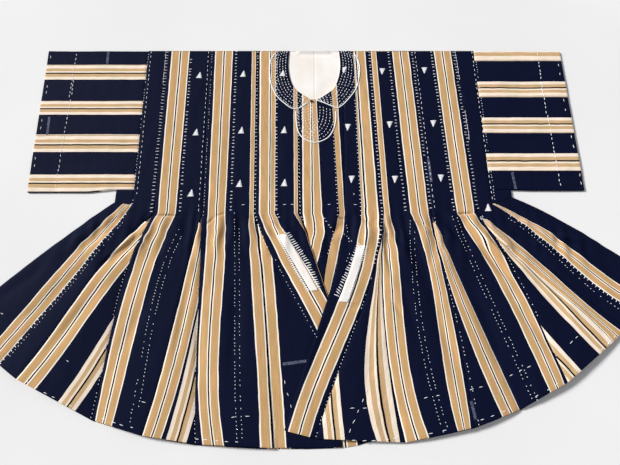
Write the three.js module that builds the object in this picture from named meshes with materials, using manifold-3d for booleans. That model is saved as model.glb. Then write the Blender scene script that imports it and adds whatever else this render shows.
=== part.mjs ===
// A batakari smock: hand-loomed cotton strips sewn side by side from the shoulder fold to the hem,
// gores let in below the waist, wide straight sleeves, and a V neck edged with white cord.
// It lies flat on its back. Millimetres: +X across the chest, +Y from hem to shoulder, +Z up.
import * as THREE from "three";
import { mergeVertices } from "three/addons/utils/BufferGeometryUtils.js";
import Module from "manifold-3d";

const wasm = await Module();
wasm.setup();

// ---- Driving dimensions ------------------------------------------------------------------------
const CLOTH = 1.5;            // thickness of every woven wall
const SEAM_GAP = 0.3;         // gap kept between pieces that meet
const SHOULDER_Y = 430;       // shoulder fold, measured up from the waist line
const FRONT_LIFT = 3.6;       // underside of the front bodice above the surface
const FRONT_TOP = FRONT_LIFT + CLOTH;
const LINING_LIFT = CLOTH + SEAM_GAP;

// The hem is a shallow curve: lowest at HEM_X, rising by HEM_RISE where it is HEM_REACH away.
const HEM_X = -30;
const HEM_Y = -466;
const HEM_RISE = 255;
const HEM_REACH = 700;
const HEM_POWER = 2.7;
const BACK_HEM_DROP = 5;      // the back hem hangs this much lower than the front

// Long edges of the front pieces, from left to right. top: x on the shoulder fold.
// waist: [x, y] where the flare starts. upper, lower: x at one and two thirds of the way down.
// hem: x of the lower end on the hem curve, or [x, y] of an end that is off that curve.
// lift: height of the cloth's underside at upper, lower and hem. At the waist it is FRONT_LIFT,
// unless waistLift says otherwise.
const FRONT_EDGES = {
  side_left: { waist: [-426, 26], upper: -529, lower: -620, hem: -710, lift: [1.8, 1.8, 1.8] },
  strip_1_left: { top: -396, waist: [-386, 19], upper: -458, lower: -530, hem: -604, lift: [4, 5, 5] },
  strip_1_right: { top: -348, waist: [-337, 0], upper: -430, lower: -494, hem: -562, lift: [6, 9, 10] },
  strip_2_left: { top: -348, waist: [-337, 0], upper: -381, lower: -398, hem: -409, lift: [2.4, 3, 3] },
  strip_2_right: { top: -246, waist: [-233, 0], upper: -258, lower: -280, hem: -310, lift: [5, 8, 9] },
  strip_3_left: { top: -246, waist: [-233, 0], upper: -227, lower: -222, hem: -212, lift: [2.4, 3, 3.4] },
  strip_3_right: { top: -128, waist: [-119, 0], upper: -97, lower: -82, hem: -68, lift: [4.2, 5, 6] },
  strip_4_left: { top: -128, waist: [-119, 0], upper: -79, lower: -26, hem: [28, -305], lift: [4.2, 5.4, 3.6] },
  strip_4_right: { top: -27, waist: [-22, 0], upper: 8, lower: 40, hem: [62, -290], lift: [6.6, 5.7, 3.6] },
  strip_5_left: { top: -27, waist: [-22, 0], upper: -2, lower: 2, hem: [8, -200], lift: [3.6, 3.6, 3.6] },
  strip_5_right: { top: 82, waist: [75, 0], upper: 65, lower: 50, hem: [34, -200], lift: [3.6, 3.6, 3.6] },
  strip_6_left: { top: 82, waist: [76, 0], upper: 48, lower: 0, hem: [-48, -436], lift: [8.4, 8.7, 5] },
  strip_6_right: { top: 149, waist: [160, 0], upper: 126, lower: 68, hem: [11, -450], lift: [4.9, 5.5, 4] },
  strip_7_left: { top: 149, waist: [160, 0], upper: 150, lower: 154, hem: 177, lift: [3, 4, 3.5] },
  strip_7_right: { top: 251, waist: [263, 0], upper: 277, lower: 295, hem: 308, lift: [5, 7, 8] },
  strip_8_left: { top: 251, waist: [263, 0], upper: 305, lower: 350, hem: 396, lift: [2.4, 3, 3] },
  strip_8_right: { top: 352, waist: [364, 0], upper: 416, lower: 456, hem: 492, lift: [6, 9, 10] },
  strip_9_left: { top: 352, waist: [364, 0], upper: 456, lower: 542, hem: 630, lift: [2.4, 3, 4] },
  strip_9_right: { top: 401, waist: [396, 22], upper: 493, lower: 566, hem: 662, lift: [3, 5, 5] },
  side_right: { waist: [442, 38], upper: 553, lower: 637, hem: 729, lift: [1.8, 1.8, 1.8] },
  under_left: { waist: [-124, 0], upper: -104, lower: -90, hem: -76, waistLift: 1.8, lift: [1.8, 1.8, 1.8] },
  under_right: { waist: [-114, 0], upper: -20, lower: 35, hem: 60, waistLift: 1.8, lift: [1.8, 1.8, 1.8] },
};

// Where the back differs: its middle strips run straight down to the hem.
const BACK_EDGES = {
  ...FRONT_EDGES,
  strip_3_right: { top: -128, waist: [-119, 0], upper: -112, lower: -104, hem: -96 },
  strip_4_right: { top: -27, waist: [-22, 0], upper: -17, lower: -12, hem: -6 },
  strip_5_right: { top: 82, waist: [76, 0], upper: 80, lower: 85, hem: 90 },
  strip_6_right: { top: 149, waist: [160, 0], upper: 165, lower: 170, hem: 177 },
};

// Front pieces: the edges they run between, and how far the middle of each swells above them.
const FRONT_PIECES = [
  { name: "front_side_left", left: "side_left", right: "strip_1_left", swell: 2.5 },
  { name: "front_strip_1", left: "strip_1_left", right: "strip_1_right", swell: 1 },
  { name: "front_gore_1", left: "strip_1_right", right: "strip_2_left", swell: 3 },
  { name: "front_strip_2", left: "strip_2_left", right: "strip_2_right", swell: 2 },
  { name: "front_gore_2", left: "strip_2_right", right: "strip_3_left", swell: 2.5 },
  { name: "front_strip_3", left: "strip_3_left", right: "strip_3_right", swell: 2 },
  { name: "front_strip_4", left: "strip_4_left", right: "strip_4_right", swell: 0.5 },
  { name: "front_strip_5", left: "strip_5_left", right: "strip_5_right", swell: 0 },
  { name: "front_strip_6", left: "strip_6_left", right: "strip_6_right", swell: 0.5 },
  { name: "front_gore_3", left: "strip_6_right", right: "strip_7_left", swell: 2.5 },
  { name: "front_strip_7", left: "strip_7_left", right: "strip_7_right", swell: 2 },
  { name: "front_gore_4", left: "strip_7_right", right: "strip_8_left", swell: 2.5 },
  { name: "front_strip_8", left: "strip_8_left", right: "strip_8_right", swell: 2 },
  { name: "front_gore_5", left: "strip_8_right", right: "strip_9_left", swell: 3 },
  { name: "front_strip_9", left: "strip_9_left", right: "strip_9_right", swell: 1 },
  { name: "front_side_right", left: "strip_9_right", right: "side_right", swell: 2.5 },
  { name: "front_under_gore", left: "under_left", right: "under_right", swell: 0 },
];
const BACK_PIECES = [
  { name: "back_side_left", left: "side_left", right: "strip_1_left" },
  { name: "back_strip_1", left: "strip_1_left", right: "strip_1_right" },
  { name: "back_gore_1", left: "strip_1_right", right: "strip_2_left" },
  { name: "back_strip_2", left: "strip_2_left", right: "strip_2_right" },
  { name: "back_gore_2", left: "strip_2_right", right: "strip_3_left" },
  { name: "back_strip_3", left: "strip_3_left", right: "strip_3_right" },
  { name: "back_strip_4", left: "strip_3_right", right: "strip_4_right" },
  { name: "back_strip_5", left: "strip_4_right", right: "strip_5_right" },
  { name: "back_strip_6", left: "strip_5_right", right: "strip_6_right" },
  { name: "back_strip_7", left: "strip_6_right", right: "strip_7_right" },
  { name: "back_gore_3", left: "strip_7_right", right: "strip_8_left" },
  { name: "back_strip_8", left: "strip_8_left", right: "strip_8_right" },
  { name: "back_gore_4", left: "strip_8_right", right: "strip_9_left" },
  { name: "back_strip_9", left: "strip_9_left", right: "strip_9_right" },
  { name: "back_side_right", left: "strip_9_right", right: "side_right" },
];

// Rows down a piece: -1 on the shoulder fold, 0 at the waist, 1 at the hem.
const BODICE_ROWS = [-1, -0.8, -0.6, -0.4, -0.2];
const GORE_TIP = 0.05;
const SKIRT_ROWS = [GORE_TIP, 0.12, 0.22, 0.33, 0.44, 0.56, 0.67, 0.78, 0.89, 1];
const FRONT_COLUMNS = 4;
const BACK_COLUMNS = 2;

// Shoulder fold, where the back turns up to meet the front.
const FOLD_RADIUS = FRONT_LIFT;
const FOLD_STEPS = 3;

// Sleeves: x of the cuff at the shoulder and at the underarm, and the height of the flat tube.
const SLEEVES = [
  { name: "sleeve_left", cuff: [-640, -621], seam: "strip_1_left", outward: -1 },
  { name: "sleeve_right", cuff: [612, 603], seam: "strip_9_right", outward: 1 },
];
const UNDERARM_Y = 56;
const SLEEVE_ROWS = 8;
const SLEEVE_ARC_STEPS = 6;
const SLEEVE_FLAT_STEPS = 5;

// Underarm gussets: folded squares, open toward the body.
const GUSSETS = [
  { name: "gusset_left", seam: "strip_1_left", edge: "side_left", outward: -1 },
  { name: "gusset_right", seam: "strip_9_right", edge: "side_right", outward: 1 },
];
const GUSSET_FOLD_STEPS = 6;

// Neck: half of the opening's outline on each side of its lowest point, and the lining seen in it.
const NECK_POINT = [11, 290];
const NECK_LEFT = [[-20, 306], [-42, 331], [-52, 380]];
const NECK_RIGHT = [[45, 309], [62, 331], [73, 380]];
const NECK_TOP = [-50, 70];
const NECK_CURVE_STEPS = 10;
const CUT_DEPTH = 20;         // height of the blocks that cut the neck out of the cloth
const CUT_BY_NECK = ["front_strip_4", "front_strip_5", "back_strip_4", "back_strip_5"];
const LINING = { left: -70, seam: 11, right: 92, bottom: 268, top: 425 };

// Couched cord round the yoke's two lobes and the placket, and the button at the neck point.
const CORD_RADIUS = 1.2;
const CORD_SIDES = 8;
const CORD_STEPS = 26;
const CORD_ROUTES = {
  yoke_cord_left: [
    [-86, 422], [-96, 398], [-97, 364], [-92, 331], [-79, 300],
    [-59, 278], [-42, 265], [-26, 266], [-12, 275], [-8, 279],
  ],
  yoke_cord_right: [
    [108, 422], [118, 397], [120, 373], [116, 343], [108, 317],
    [87, 286], [67, 267], [51, 271], [35, 279], [17, 287],
  ],
  placket_cord: [
    [-33, 257], [-31, 224], [-25, 198], [-11, 182], [8, 174],
    [25, 177], [43, 189], [55, 211], [60, 235], [60, 257],
  ],
};
const BUTTON = { at: [3, 284], radius: 3.4, height: 4 };
const BUTTON_FOOT = 0.7;      // share of the button's radius that it stands on
const BUTTON_RIM = 0.3;       // share of its height where it is widest
const BUTTON_ARC_STEPS = 4;
const BUTTON_SIDES = 12;

// White facings of the pocket mouths: the rows they run between, and the shares of the strip's
// width that they cover at the upper and at the lower end.
const FACING_CLOTH = 1;
const FACING_GAP = 0.5;
const FACING_STEPS = 6;
const FACINGS = [
  { name: "pocket_facing_left", on: "strip_4", rows: [0.17, 0.58], upper: [0.35, 0.52], lower: [0.58, 0.76] },
  { name: "pocket_facing_right", on: "strip_6", rows: [0.17, 0.44], upper: [0.44, 0.62], lower: [0.32, 0.57] },
];

// ---- Finishes ----------------------------------------------------------------------------------
const INDIGO = { color: 0x0d1431, roughness: 0.9, metalness: 0 };
const LINING_COTTON = { color: 0xf1ece4, roughness: 0.9, metalness: 0 };
const WHITE_CORD = { color: 0xf4f2ec, roughness: 0.7, metalness: 0 };
const BLACK_BUTTON = { color: 0x141414, roughness: 0.4, metalness: 0 };

const { lerp, smoothstep } = THREE.MathUtils;
const smock = new THREE.Group();

function addMesh(name, geometry, finish) {
  const mesh = new THREE.Mesh(geometry, new THREE.MeshStandardMaterial(finish));
  mesh.name = name;
  smock.add(mesh);
}

// ---- Edges and panels --------------------------------------------------------------------------
function hemY(x) {
  return HEM_Y + HEM_RISE * (Math.abs(x - HEM_X) / HEM_REACH) ** HEM_POWER;
}

// The cubic that passes through four values at 0, 1/3, 2/3 and 1.
function cubicThrough([start, upper, lower, end], t) {
  const u = 3 * t;
  return -start * (u - 1) * (u - 2) * (u - 3) / 6
    + upper * u * (u - 2) * (u - 3) / 2
    - lower * u * (u - 1) * (u - 3) / 2
    + end * u * (u - 1) * (u - 2) / 6;
}

// Values at 0, 1/3, 2/3 and 1 joined by soft steps that never pass them.
function softThrough(values, t) {
  const span = Math.min(Math.floor(3 * t), 2);
  return lerp(values[span], values[span + 1], smoothstep(3 * t - span, 0, 1));
}

function edgeOnPlan(edge, row, hemDrop) {
  if (row < 0) {
    return [lerp(edge.waist[0], edge.top, -row), lerp(edge.waist[1], SHOULDER_Y, -row)];
  }
  const [hemX, endY] = Array.isArray(edge.hem) ? edge.hem : [edge.hem, hemY(edge.hem) - hemDrop];
  const x = cubicThrough([edge.waist[0], edge.upper, edge.lower, hemX], row);
  return [x, lerp(edge.waist[1], endY, row)];
}

function liftOfEdge(edge, row) {
  return row < 0 ? FRONT_LIFT : softThrough([edge.waistLift ?? FRONT_LIFT, ...edge.lift], row);
}

// A point across a piece, share 0 on its left edge and 1 on its right, with the seam gap taken off.
function acrossOnPlan(leftEdge, rightEdge, row, share, hemDrop) {
  const [leftX, leftY] = edgeOnPlan(leftEdge, row, hemDrop);
  const [rightX, rightY] = edgeOnPlan(rightEdge, row, hemDrop);
  const width = Math.hypot(rightX - leftX, rightY - leftY);
  const inset = SEAM_GAP / 2 / width;
  const along = lerp(inset, 1 - inset, share);
  return [lerp(leftX, rightX, along), lerp(leftY, rightY, along)];
}

function undersideOfFront(piece, row, share) {
  const leftEdge = FRONT_EDGES[piece.left];
  const rightEdge = FRONT_EDGES[piece.right];
  const [x, y] = acrossOnPlan(leftEdge, rightEdge, row, share, 0);
  const swell = piece.swell * Math.sin(Math.PI * share) * Math.max(row, 0);
  const z = lerp(liftOfEdge(leftEdge, row), liftOfEdge(rightEdge, row), share) + swell;
  return new THREE.Vector3(x, y, z);
}

// A closed wall between two grids of points: rows run down the cloth and columns run to the right.
function wall(topGrid, bottomGrid) {
  const rows = topGrid.length;
  const columns = topGrid[0].length;
  const positions = [];
  for (const grid of [topGrid, bottomGrid]) {
    for (const row of grid) {
      for (const point of row) positions.push(point.x, point.y, point.z);
    }
  }
  const top = (row, column) => row * columns + column;
  const bottom = (row, column) => rows * columns + top(row, column);
  const index = [];
  const quad = (a, b, c, d) => index.push(a, b, c, a, c, d);
  for (let row = 0; row < rows - 1; row++) {
    for (let column = 0; column < columns - 1; column++) {
      const next = column + 1;
      quad(top(row, column), top(row + 1, column), top(row + 1, next), top(row, next));
      quad(bottom(row, column), bottom(row, next), bottom(row + 1, next), bottom(row + 1, column));
    }
    quad(top(row, 0), bottom(row, 0), bottom(row + 1, 0), top(row + 1, 0));
    const last = columns - 1;
    quad(top(row, last), top(row + 1, last), bottom(row + 1, last), bottom(row, last));
  }
  for (let column = 0; column < columns - 1; column++) {
    const last = rows - 1;
    quad(top(0, column), top(0, column + 1), bottom(0, column + 1), bottom(0, column));
    quad(top(last, column), bottom(last, column), bottom(last, column + 1), top(last, column + 1));
  }
  const geometry = new THREE.BufferGeometry();
  geometry.setAttribute("position", new THREE.Float32BufferAttribute(positions, 3));
  geometry.setIndex(index);
  return geometry;
}

// The same grid of points, higher by the thickness of the cloth.
function raised(grid, thickness) {
  const up = new THREE.Vector3(0, 0, thickness);
  return grid.map((points) => points.map((point) => point.clone().add(up)));
}

function shares(columns) {
  return Array.from({ length: columns + 1 }, (_, column) => column / columns);
}

// Strips run from the shoulder, side panels from the waist, and gores from a tip below the waist.
function rowsOf(piece) {
  if (piece.name.includes("gore")) return SKIRT_ROWS;
  if (piece.name.includes("side")) return [0, ...SKIRT_ROWS];
  return [...BODICE_ROWS, 0, ...SKIRT_ROWS];
}

function frontWall(piece) {
  const bottomGrid = [];
  for (const row of rowsOf(piece)) {
    const points = shares(FRONT_COLUMNS).map((share) => undersideOfFront(piece, row, share));
    // The front stops just inside the shoulder fold of the back.
    if (row === -1) points.forEach((point) => { point.y -= CLOTH + SEAM_GAP; });
    bottomGrid.push(points);
  }
  return wall(raised(bottomGrid, CLOTH), bottomGrid);
}

function backWall(piece) {
  const leftEdge = BACK_EDGES[piece.left];
  const rightEdge = BACK_EDGES[piece.right];
  const topGrid = [];
  const bottomGrid = [];
  const addRow = (row, outer, inner) => {
    const plan = shares(BACK_COLUMNS).map(
      (share) => acrossOnPlan(leftEdge, rightEdge, row, share, BACK_HEM_DROP),
    );
    bottomGrid.push(plan.map(([x, y]) => new THREE.Vector3(x, y + outer.y, outer.z)));
    topGrid.push(plan.map(([x, y]) => new THREE.Vector3(x, y + inner.y, inner.z)));
  };
  const rows = rowsOf(piece);
  if (rows[0] === -1) {
    addRow(-1, { y: 0, z: FRONT_TOP }, { y: -CLOTH, z: FRONT_TOP });
    for (let step = 0; step <= FOLD_STEPS; step++) {
      const angle = (Math.PI / 2) * (step / FOLD_STEPS);
      const turn = (radius) => ({
        y: radius * Math.cos(angle) - FOLD_RADIUS,
        z: FOLD_RADIUS - radius * Math.sin(angle),
      });
      addRow(-1, turn(FOLD_RADIUS), turn(FOLD_RADIUS - CLOTH));
    }
  }
  for (const row of rows.filter((row) => row > -1)) addRow(row, { y: 0, z: 0 }, { y: 0, z: CLOTH });
  return wall(topGrid, bottomGrid);
}

// ---- Cutting -----------------------------------------------------------------------------------
function toSolid(geometry) {
  const bare = geometry.clone();
  bare.deleteAttribute("normal");
  bare.deleteAttribute("uv");
  const merged = mergeVertices(bare);
  return new wasm.Manifold(new wasm.Mesh({
    numProp: 3,
    vertProperties: new Float32Array(merged.attributes.position.array),
    triVerts: new Uint32Array(merged.index.array),
  }));
}

function cutAway(geometry, cutter) {
  const mesh = toSolid(geometry).subtract(cutter).getMesh();
  const cut = new THREE.BufferGeometry();
  cut.setAttribute("position", new THREE.Float32BufferAttribute(mesh.vertProperties, 3));
  cut.setIndex(new THREE.BufferAttribute(mesh.triVerts, 1));
  return cut;
}

// The prism that cuts the neck opening out of the front.
function neckCutter() {
  const outline = new THREE.Shape();
  const above = SHOULDER_Y + CUT_DEPTH / 2;
  outline.moveTo(...NECK_POINT);
  outline.splineThru([...NECK_RIGHT, [NECK_TOP[1], above]].map(([x, y]) => new THREE.Vector2(x, y)));
  outline.lineTo(NECK_TOP[0], above);
  const down = [...NECK_LEFT].reverse();
  outline.splineThru([...down, NECK_POINT].map(([x, y]) => new THREE.Vector2(x, y)));
  return toSolid(new THREE.ExtrudeGeometry(outline, {
    depth: CUT_DEPTH, bevelEnabled: false, curveSegments: NECK_CURVE_STEPS,
  }));
}

// The block that takes the turned-up fold off the back between the two shoulders.
function backNeckCutter() {
  const width = NECK_TOP[1] - NECK_TOP[0];
  const block = new THREE.BoxGeometry(width, CUT_DEPTH, CUT_DEPTH);
  block.translate((NECK_TOP[0] + NECK_TOP[1]) / 2, SHOULDER_Y, CLOTH + CUT_DEPTH / 2);
  return toSolid(block);
}

// ---- Sleeves and gussets -----------------------------------------------------------------------
// The flat loop of a sleeve in its y-z plane: bottom run, shoulder turn, top run, underarm turn.
function sleeveLoop(inset) {
  const half = FRONT_TOP / 2;
  const radius = half - inset;
  const low = UNDERARM_Y + half;
  const high = SHOULDER_Y - half;
  const loop = [];
  const addTurn = (centre, from) => {
    for (let step = 0; step <= SLEEVE_ARC_STEPS; step++) {
      const angle = from + Math.PI * (step / SLEEVE_ARC_STEPS);
      loop.push([centre + radius * Math.cos(angle), half + radius * Math.sin(angle)]);
    }
  };
  const addRun = (from, to, z) => {
    for (let step = 1; step < SLEEVE_FLAT_STEPS; step++) {
      loop.push([lerp(from, to, step / SLEEVE_FLAT_STEPS), z]);
    }
  };
  addTurn(high, -Math.PI / 2);
  addRun(high, low, half + radius);
  addTurn(low, Math.PI / 2);
  addRun(low, high, half - radius);
  return loop;
}

function seamX(edge, y) {
  return lerp(edge.waist[0], edge.top, (y - edge.waist[1]) / (SHOULDER_Y - edge.waist[1]));
}

function sleeveTube(sleeve) {
  const loops = [sleeveLoop(0), sleeveLoop(CLOTH)];
  const count = loops[0].length;
  const seam = FRONT_EDGES[sleeve.seam];
  const positions = [];
  for (const loop of loops) {
    for (let row = 0; row <= SLEEVE_ROWS; row++) {
      for (const [y, z] of loop) {
        const cuff = lerp(sleeve.cuff[1], sleeve.cuff[0], (y - UNDERARM_Y) / (SHOULDER_Y - UNDERARM_Y));
        const armhole = seamX(seam, y) + sleeve.outward * SEAM_GAP;
        positions.push(lerp(armhole, cuff, row / SLEEVE_ROWS), y, z);
      }
    }
  }
  const at = (loop, row, point) => (loop * (SLEEVE_ROWS + 1) + row) * count + (point % count);
  const index = [];
  const quad = (a, b, c, d) => {
    if (sleeve.outward < 0) index.push(a, b, c, a, c, d);
    else index.push(a, c, b, a, d, c);
  };
  for (let point = 0; point < count; point++) {
    for (let row = 0; row < SLEEVE_ROWS; row++) {
      quad(at(0, row, point), at(0, row + 1, point), at(0, row + 1, point + 1), at(0, row, point + 1));
      quad(at(1, row, point), at(1, row, point + 1), at(1, row + 1, point + 1), at(1, row + 1, point));
    }
    quad(at(0, 0, point), at(0, 0, point + 1), at(1, 0, point + 1), at(1, 0, point));
    const last = SLEEVE_ROWS;
    quad(at(0, last, point), at(1, last, point), at(1, last, point + 1), at(0, last, point + 1));
  }
  const geometry = new THREE.BufferGeometry();
  geometry.setAttribute("position", new THREE.Float32BufferAttribute(positions, 3));
  geometry.setIndex(index);
  return geometry;
}

// A gusset is a wall folded round its outer edge: grid columns run from the top layer to the bottom one.
function gussetWall(gusset) {
  const seam = FRONT_EDGES[gusset.seam];
  const edge = FRONT_EDGES[gusset.edge];
  const half = FRONT_TOP / 2;
  const top = UNDERARM_Y - SEAM_GAP;
  const innerGrid = [];
  const outerGrid = [];
  for (const down of [0, 0.5, 1]) {
    const bodyY = lerp(top, seam.waist[1] + SEAM_GAP, down);
    const foldY = lerp(top, edge.waist[1] + SEAM_GAP, down);
    const bodyX = seamX(seam, bodyY) + gusset.outward * SEAM_GAP;
    const foldX = edge.waist[0] - gusset.outward * half;
    const place = (radius) => {
      const points = [new THREE.Vector3(bodyX, bodyY, half + radius)];
      for (let step = 0; step <= GUSSET_FOLD_STEPS; step++) {
        const angle = Math.PI * (step / GUSSET_FOLD_STEPS);
        const x = foldX + gusset.outward * radius * Math.sin(angle);
        points.push(new THREE.Vector3(x, foldY, half + radius * Math.cos(angle)));
      }
      points.push(new THREE.Vector3(bodyX, bodyY, half - radius));
      return gusset.outward > 0 ? points : points.reverse();
    };
    outerGrid.push(place(half));
    innerGrid.push(place(half - CLOTH));
  }
  return wall(outerGrid, innerGrid);
}

// ---- Trim --------------------------------------------------------------------------------------
function cordTube(route) {
  const height = FRONT_TOP + SEAM_GAP + CORD_RADIUS;
  const path = new THREE.CatmullRomCurve3(route.map(([x, y]) => new THREE.Vector3(x, y, height)));
  const section = new THREE.Shape();
  for (let side = 0; side < CORD_SIDES; side++) {
    const angle = (2 * Math.PI * side) / CORD_SIDES;
    const place = [CORD_RADIUS * Math.cos(angle), CORD_RADIUS * Math.sin(angle)];
    if (side === 0) section.moveTo(...place);
    else section.lineTo(...place);
  }
  section.closePath();
  return new THREE.ExtrudeGeometry(section, { steps: CORD_STEPS, extrudePath: path, bevelEnabled: false });
}

function buttonDome() {
  const profile = [new THREE.Vector2(0, 0), new THREE.Vector2(BUTTON.radius * BUTTON_FOOT, 0)];
  for (let step = 0; step <= BUTTON_ARC_STEPS; step++) {
    const angle = (Math.PI / 2) * (step / BUTTON_ARC_STEPS);
    const height = BUTTON.height * lerp(BUTTON_RIM, 1, Math.sin(angle));
    profile.push(new THREE.Vector2(BUTTON.radius * Math.cos(angle), height));
  }
  const dome = new THREE.LatheGeometry(profile, BUTTON_SIDES);
  dome.rotateX(Math.PI / 2);
  dome.translate(...BUTTON.at, FRONT_TOP + SEAM_GAP);
  return dome;
}

function facingWall(facing) {
  const strip = FRONT_PIECES.find((piece) => piece.name === `front_${facing.on}`);
  const aboveStrip = new THREE.Vector3(0, 0, CLOTH + FACING_GAP);
  const bottomGrid = [];
  for (let step = 0; step <= FACING_STEPS; step++) {
    const down = step / FACING_STEPS;
    const row = lerp(...facing.rows, down);
    const sides = [0, 1].map((side) => lerp(facing.upper[side], facing.lower[side], down));
    const across = [0, 0.5, 1].map((share) => lerp(...sides, share));
    bottomGrid.push(across.map((share) => undersideOfFront(strip, row, share).add(aboveStrip)));
  }
  return wall(raised(bottomGrid, FACING_CLOTH), bottomGrid);
}

function liningWall(left, right) {
  const rows = [LINING.top, (LINING.top + LINING.bottom) / 2, LINING.bottom];
  const bottomGrid = rows.map((y) => [left, right].map((x) => new THREE.Vector3(x, y, LINING_LIFT)));
  return wall(raised(bottomGrid, CLOTH), bottomGrid);
}

// ---- Assembly ----------------------------------------------------------------------------------
const frontCutter = neckCutter();
for (const piece of FRONT_PIECES) {
  const cloth = frontWall(piece);
  addMesh(piece.name, CUT_BY_NECK.includes(piece.name) ? cutAway(cloth, frontCutter) : cloth, INDIGO);
}
const backCutter = backNeckCutter();
for (const piece of BACK_PIECES) {
  const cloth = backWall(piece);
  addMesh(piece.name, CUT_BY_NECK.includes(piece.name) ? cutAway(cloth, backCutter) : cloth, INDIGO);
}
for (const sleeve of SLEEVES) addMesh(sleeve.name, sleeveTube(sleeve), INDIGO);
for (const gusset of GUSSETS) addMesh(gusset.name, gussetWall(gusset), INDIGO);
addMesh("neck_lining_left", liningWall(LINING.left, LINING.seam - SEAM_GAP / 2), LINING_COTTON);
addMesh("neck_lining_right", liningWall(LINING.seam + SEAM_GAP / 2, LINING.right), LINING_COTTON);
for (const [name, route] of Object.entries(CORD_ROUTES)) addMesh(name, cordTube(route), WHITE_CORD);
for (const facing of FACINGS) addMesh(facing.name, facingWall(facing), LINING_COTTON);
addMesh("neck_button", buttonDome(), BLACK_BUTTON);

// The origin is the middle of the smock's outline, on the surface it lies on.
const middle = new THREE.Box3().setFromObject(smock).getCenter(new THREE.Vector3());
smock.position.set(-middle.x, -middle.y, 0);

export default smock;
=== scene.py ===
import math
import random

import bmesh
import bpy
from mathutils import Matrix, Vector, noise
from mathutils.bvhtree import BVHTree


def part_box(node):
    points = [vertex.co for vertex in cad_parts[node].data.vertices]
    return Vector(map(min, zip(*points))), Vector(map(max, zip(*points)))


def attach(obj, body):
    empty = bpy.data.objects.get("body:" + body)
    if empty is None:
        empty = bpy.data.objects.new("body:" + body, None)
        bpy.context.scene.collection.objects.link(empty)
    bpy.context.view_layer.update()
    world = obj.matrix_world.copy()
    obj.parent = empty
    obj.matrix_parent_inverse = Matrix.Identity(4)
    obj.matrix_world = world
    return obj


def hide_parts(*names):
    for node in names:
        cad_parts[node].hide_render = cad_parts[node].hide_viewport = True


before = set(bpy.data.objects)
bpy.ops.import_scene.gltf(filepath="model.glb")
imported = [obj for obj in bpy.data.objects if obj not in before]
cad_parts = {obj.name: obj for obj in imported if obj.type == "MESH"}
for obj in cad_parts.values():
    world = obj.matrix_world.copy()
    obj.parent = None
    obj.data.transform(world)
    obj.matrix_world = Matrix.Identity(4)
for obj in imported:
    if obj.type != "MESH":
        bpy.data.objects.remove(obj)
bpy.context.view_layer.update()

# ---- The garment's measures ---------------------------------------------------------------------
MM = 0.001
CLOTH = 1.5                 # the solids' walls
SHELL = 1.1                 # the woven shell shown on them
SHOULDER_Y = 430
FRONT_LIFT = 3.6
FRONT_TOP = FRONT_LIFT + CLOTH
FRONT_FLOOR = 2.6           # no trough of the front goes below this, where the back lies
TROUGH_SOFTNESS = 0.4
SEAM_GAP = 0.3
HEM_X, HEM_Y, HEM_RISE, HEM_REACH, HEM_POWER = -30, -466, 255, 700, 2.7
BACK_HEM_DROP = 2
BACK_TUCK = dict(x=125, reach=42, by=9)     # where the back's hem has slipped up under the front
FOLD_RADIUS = 3.6
UNDERARM_Y = 56
LEFT_CUFF_X = -640

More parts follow.
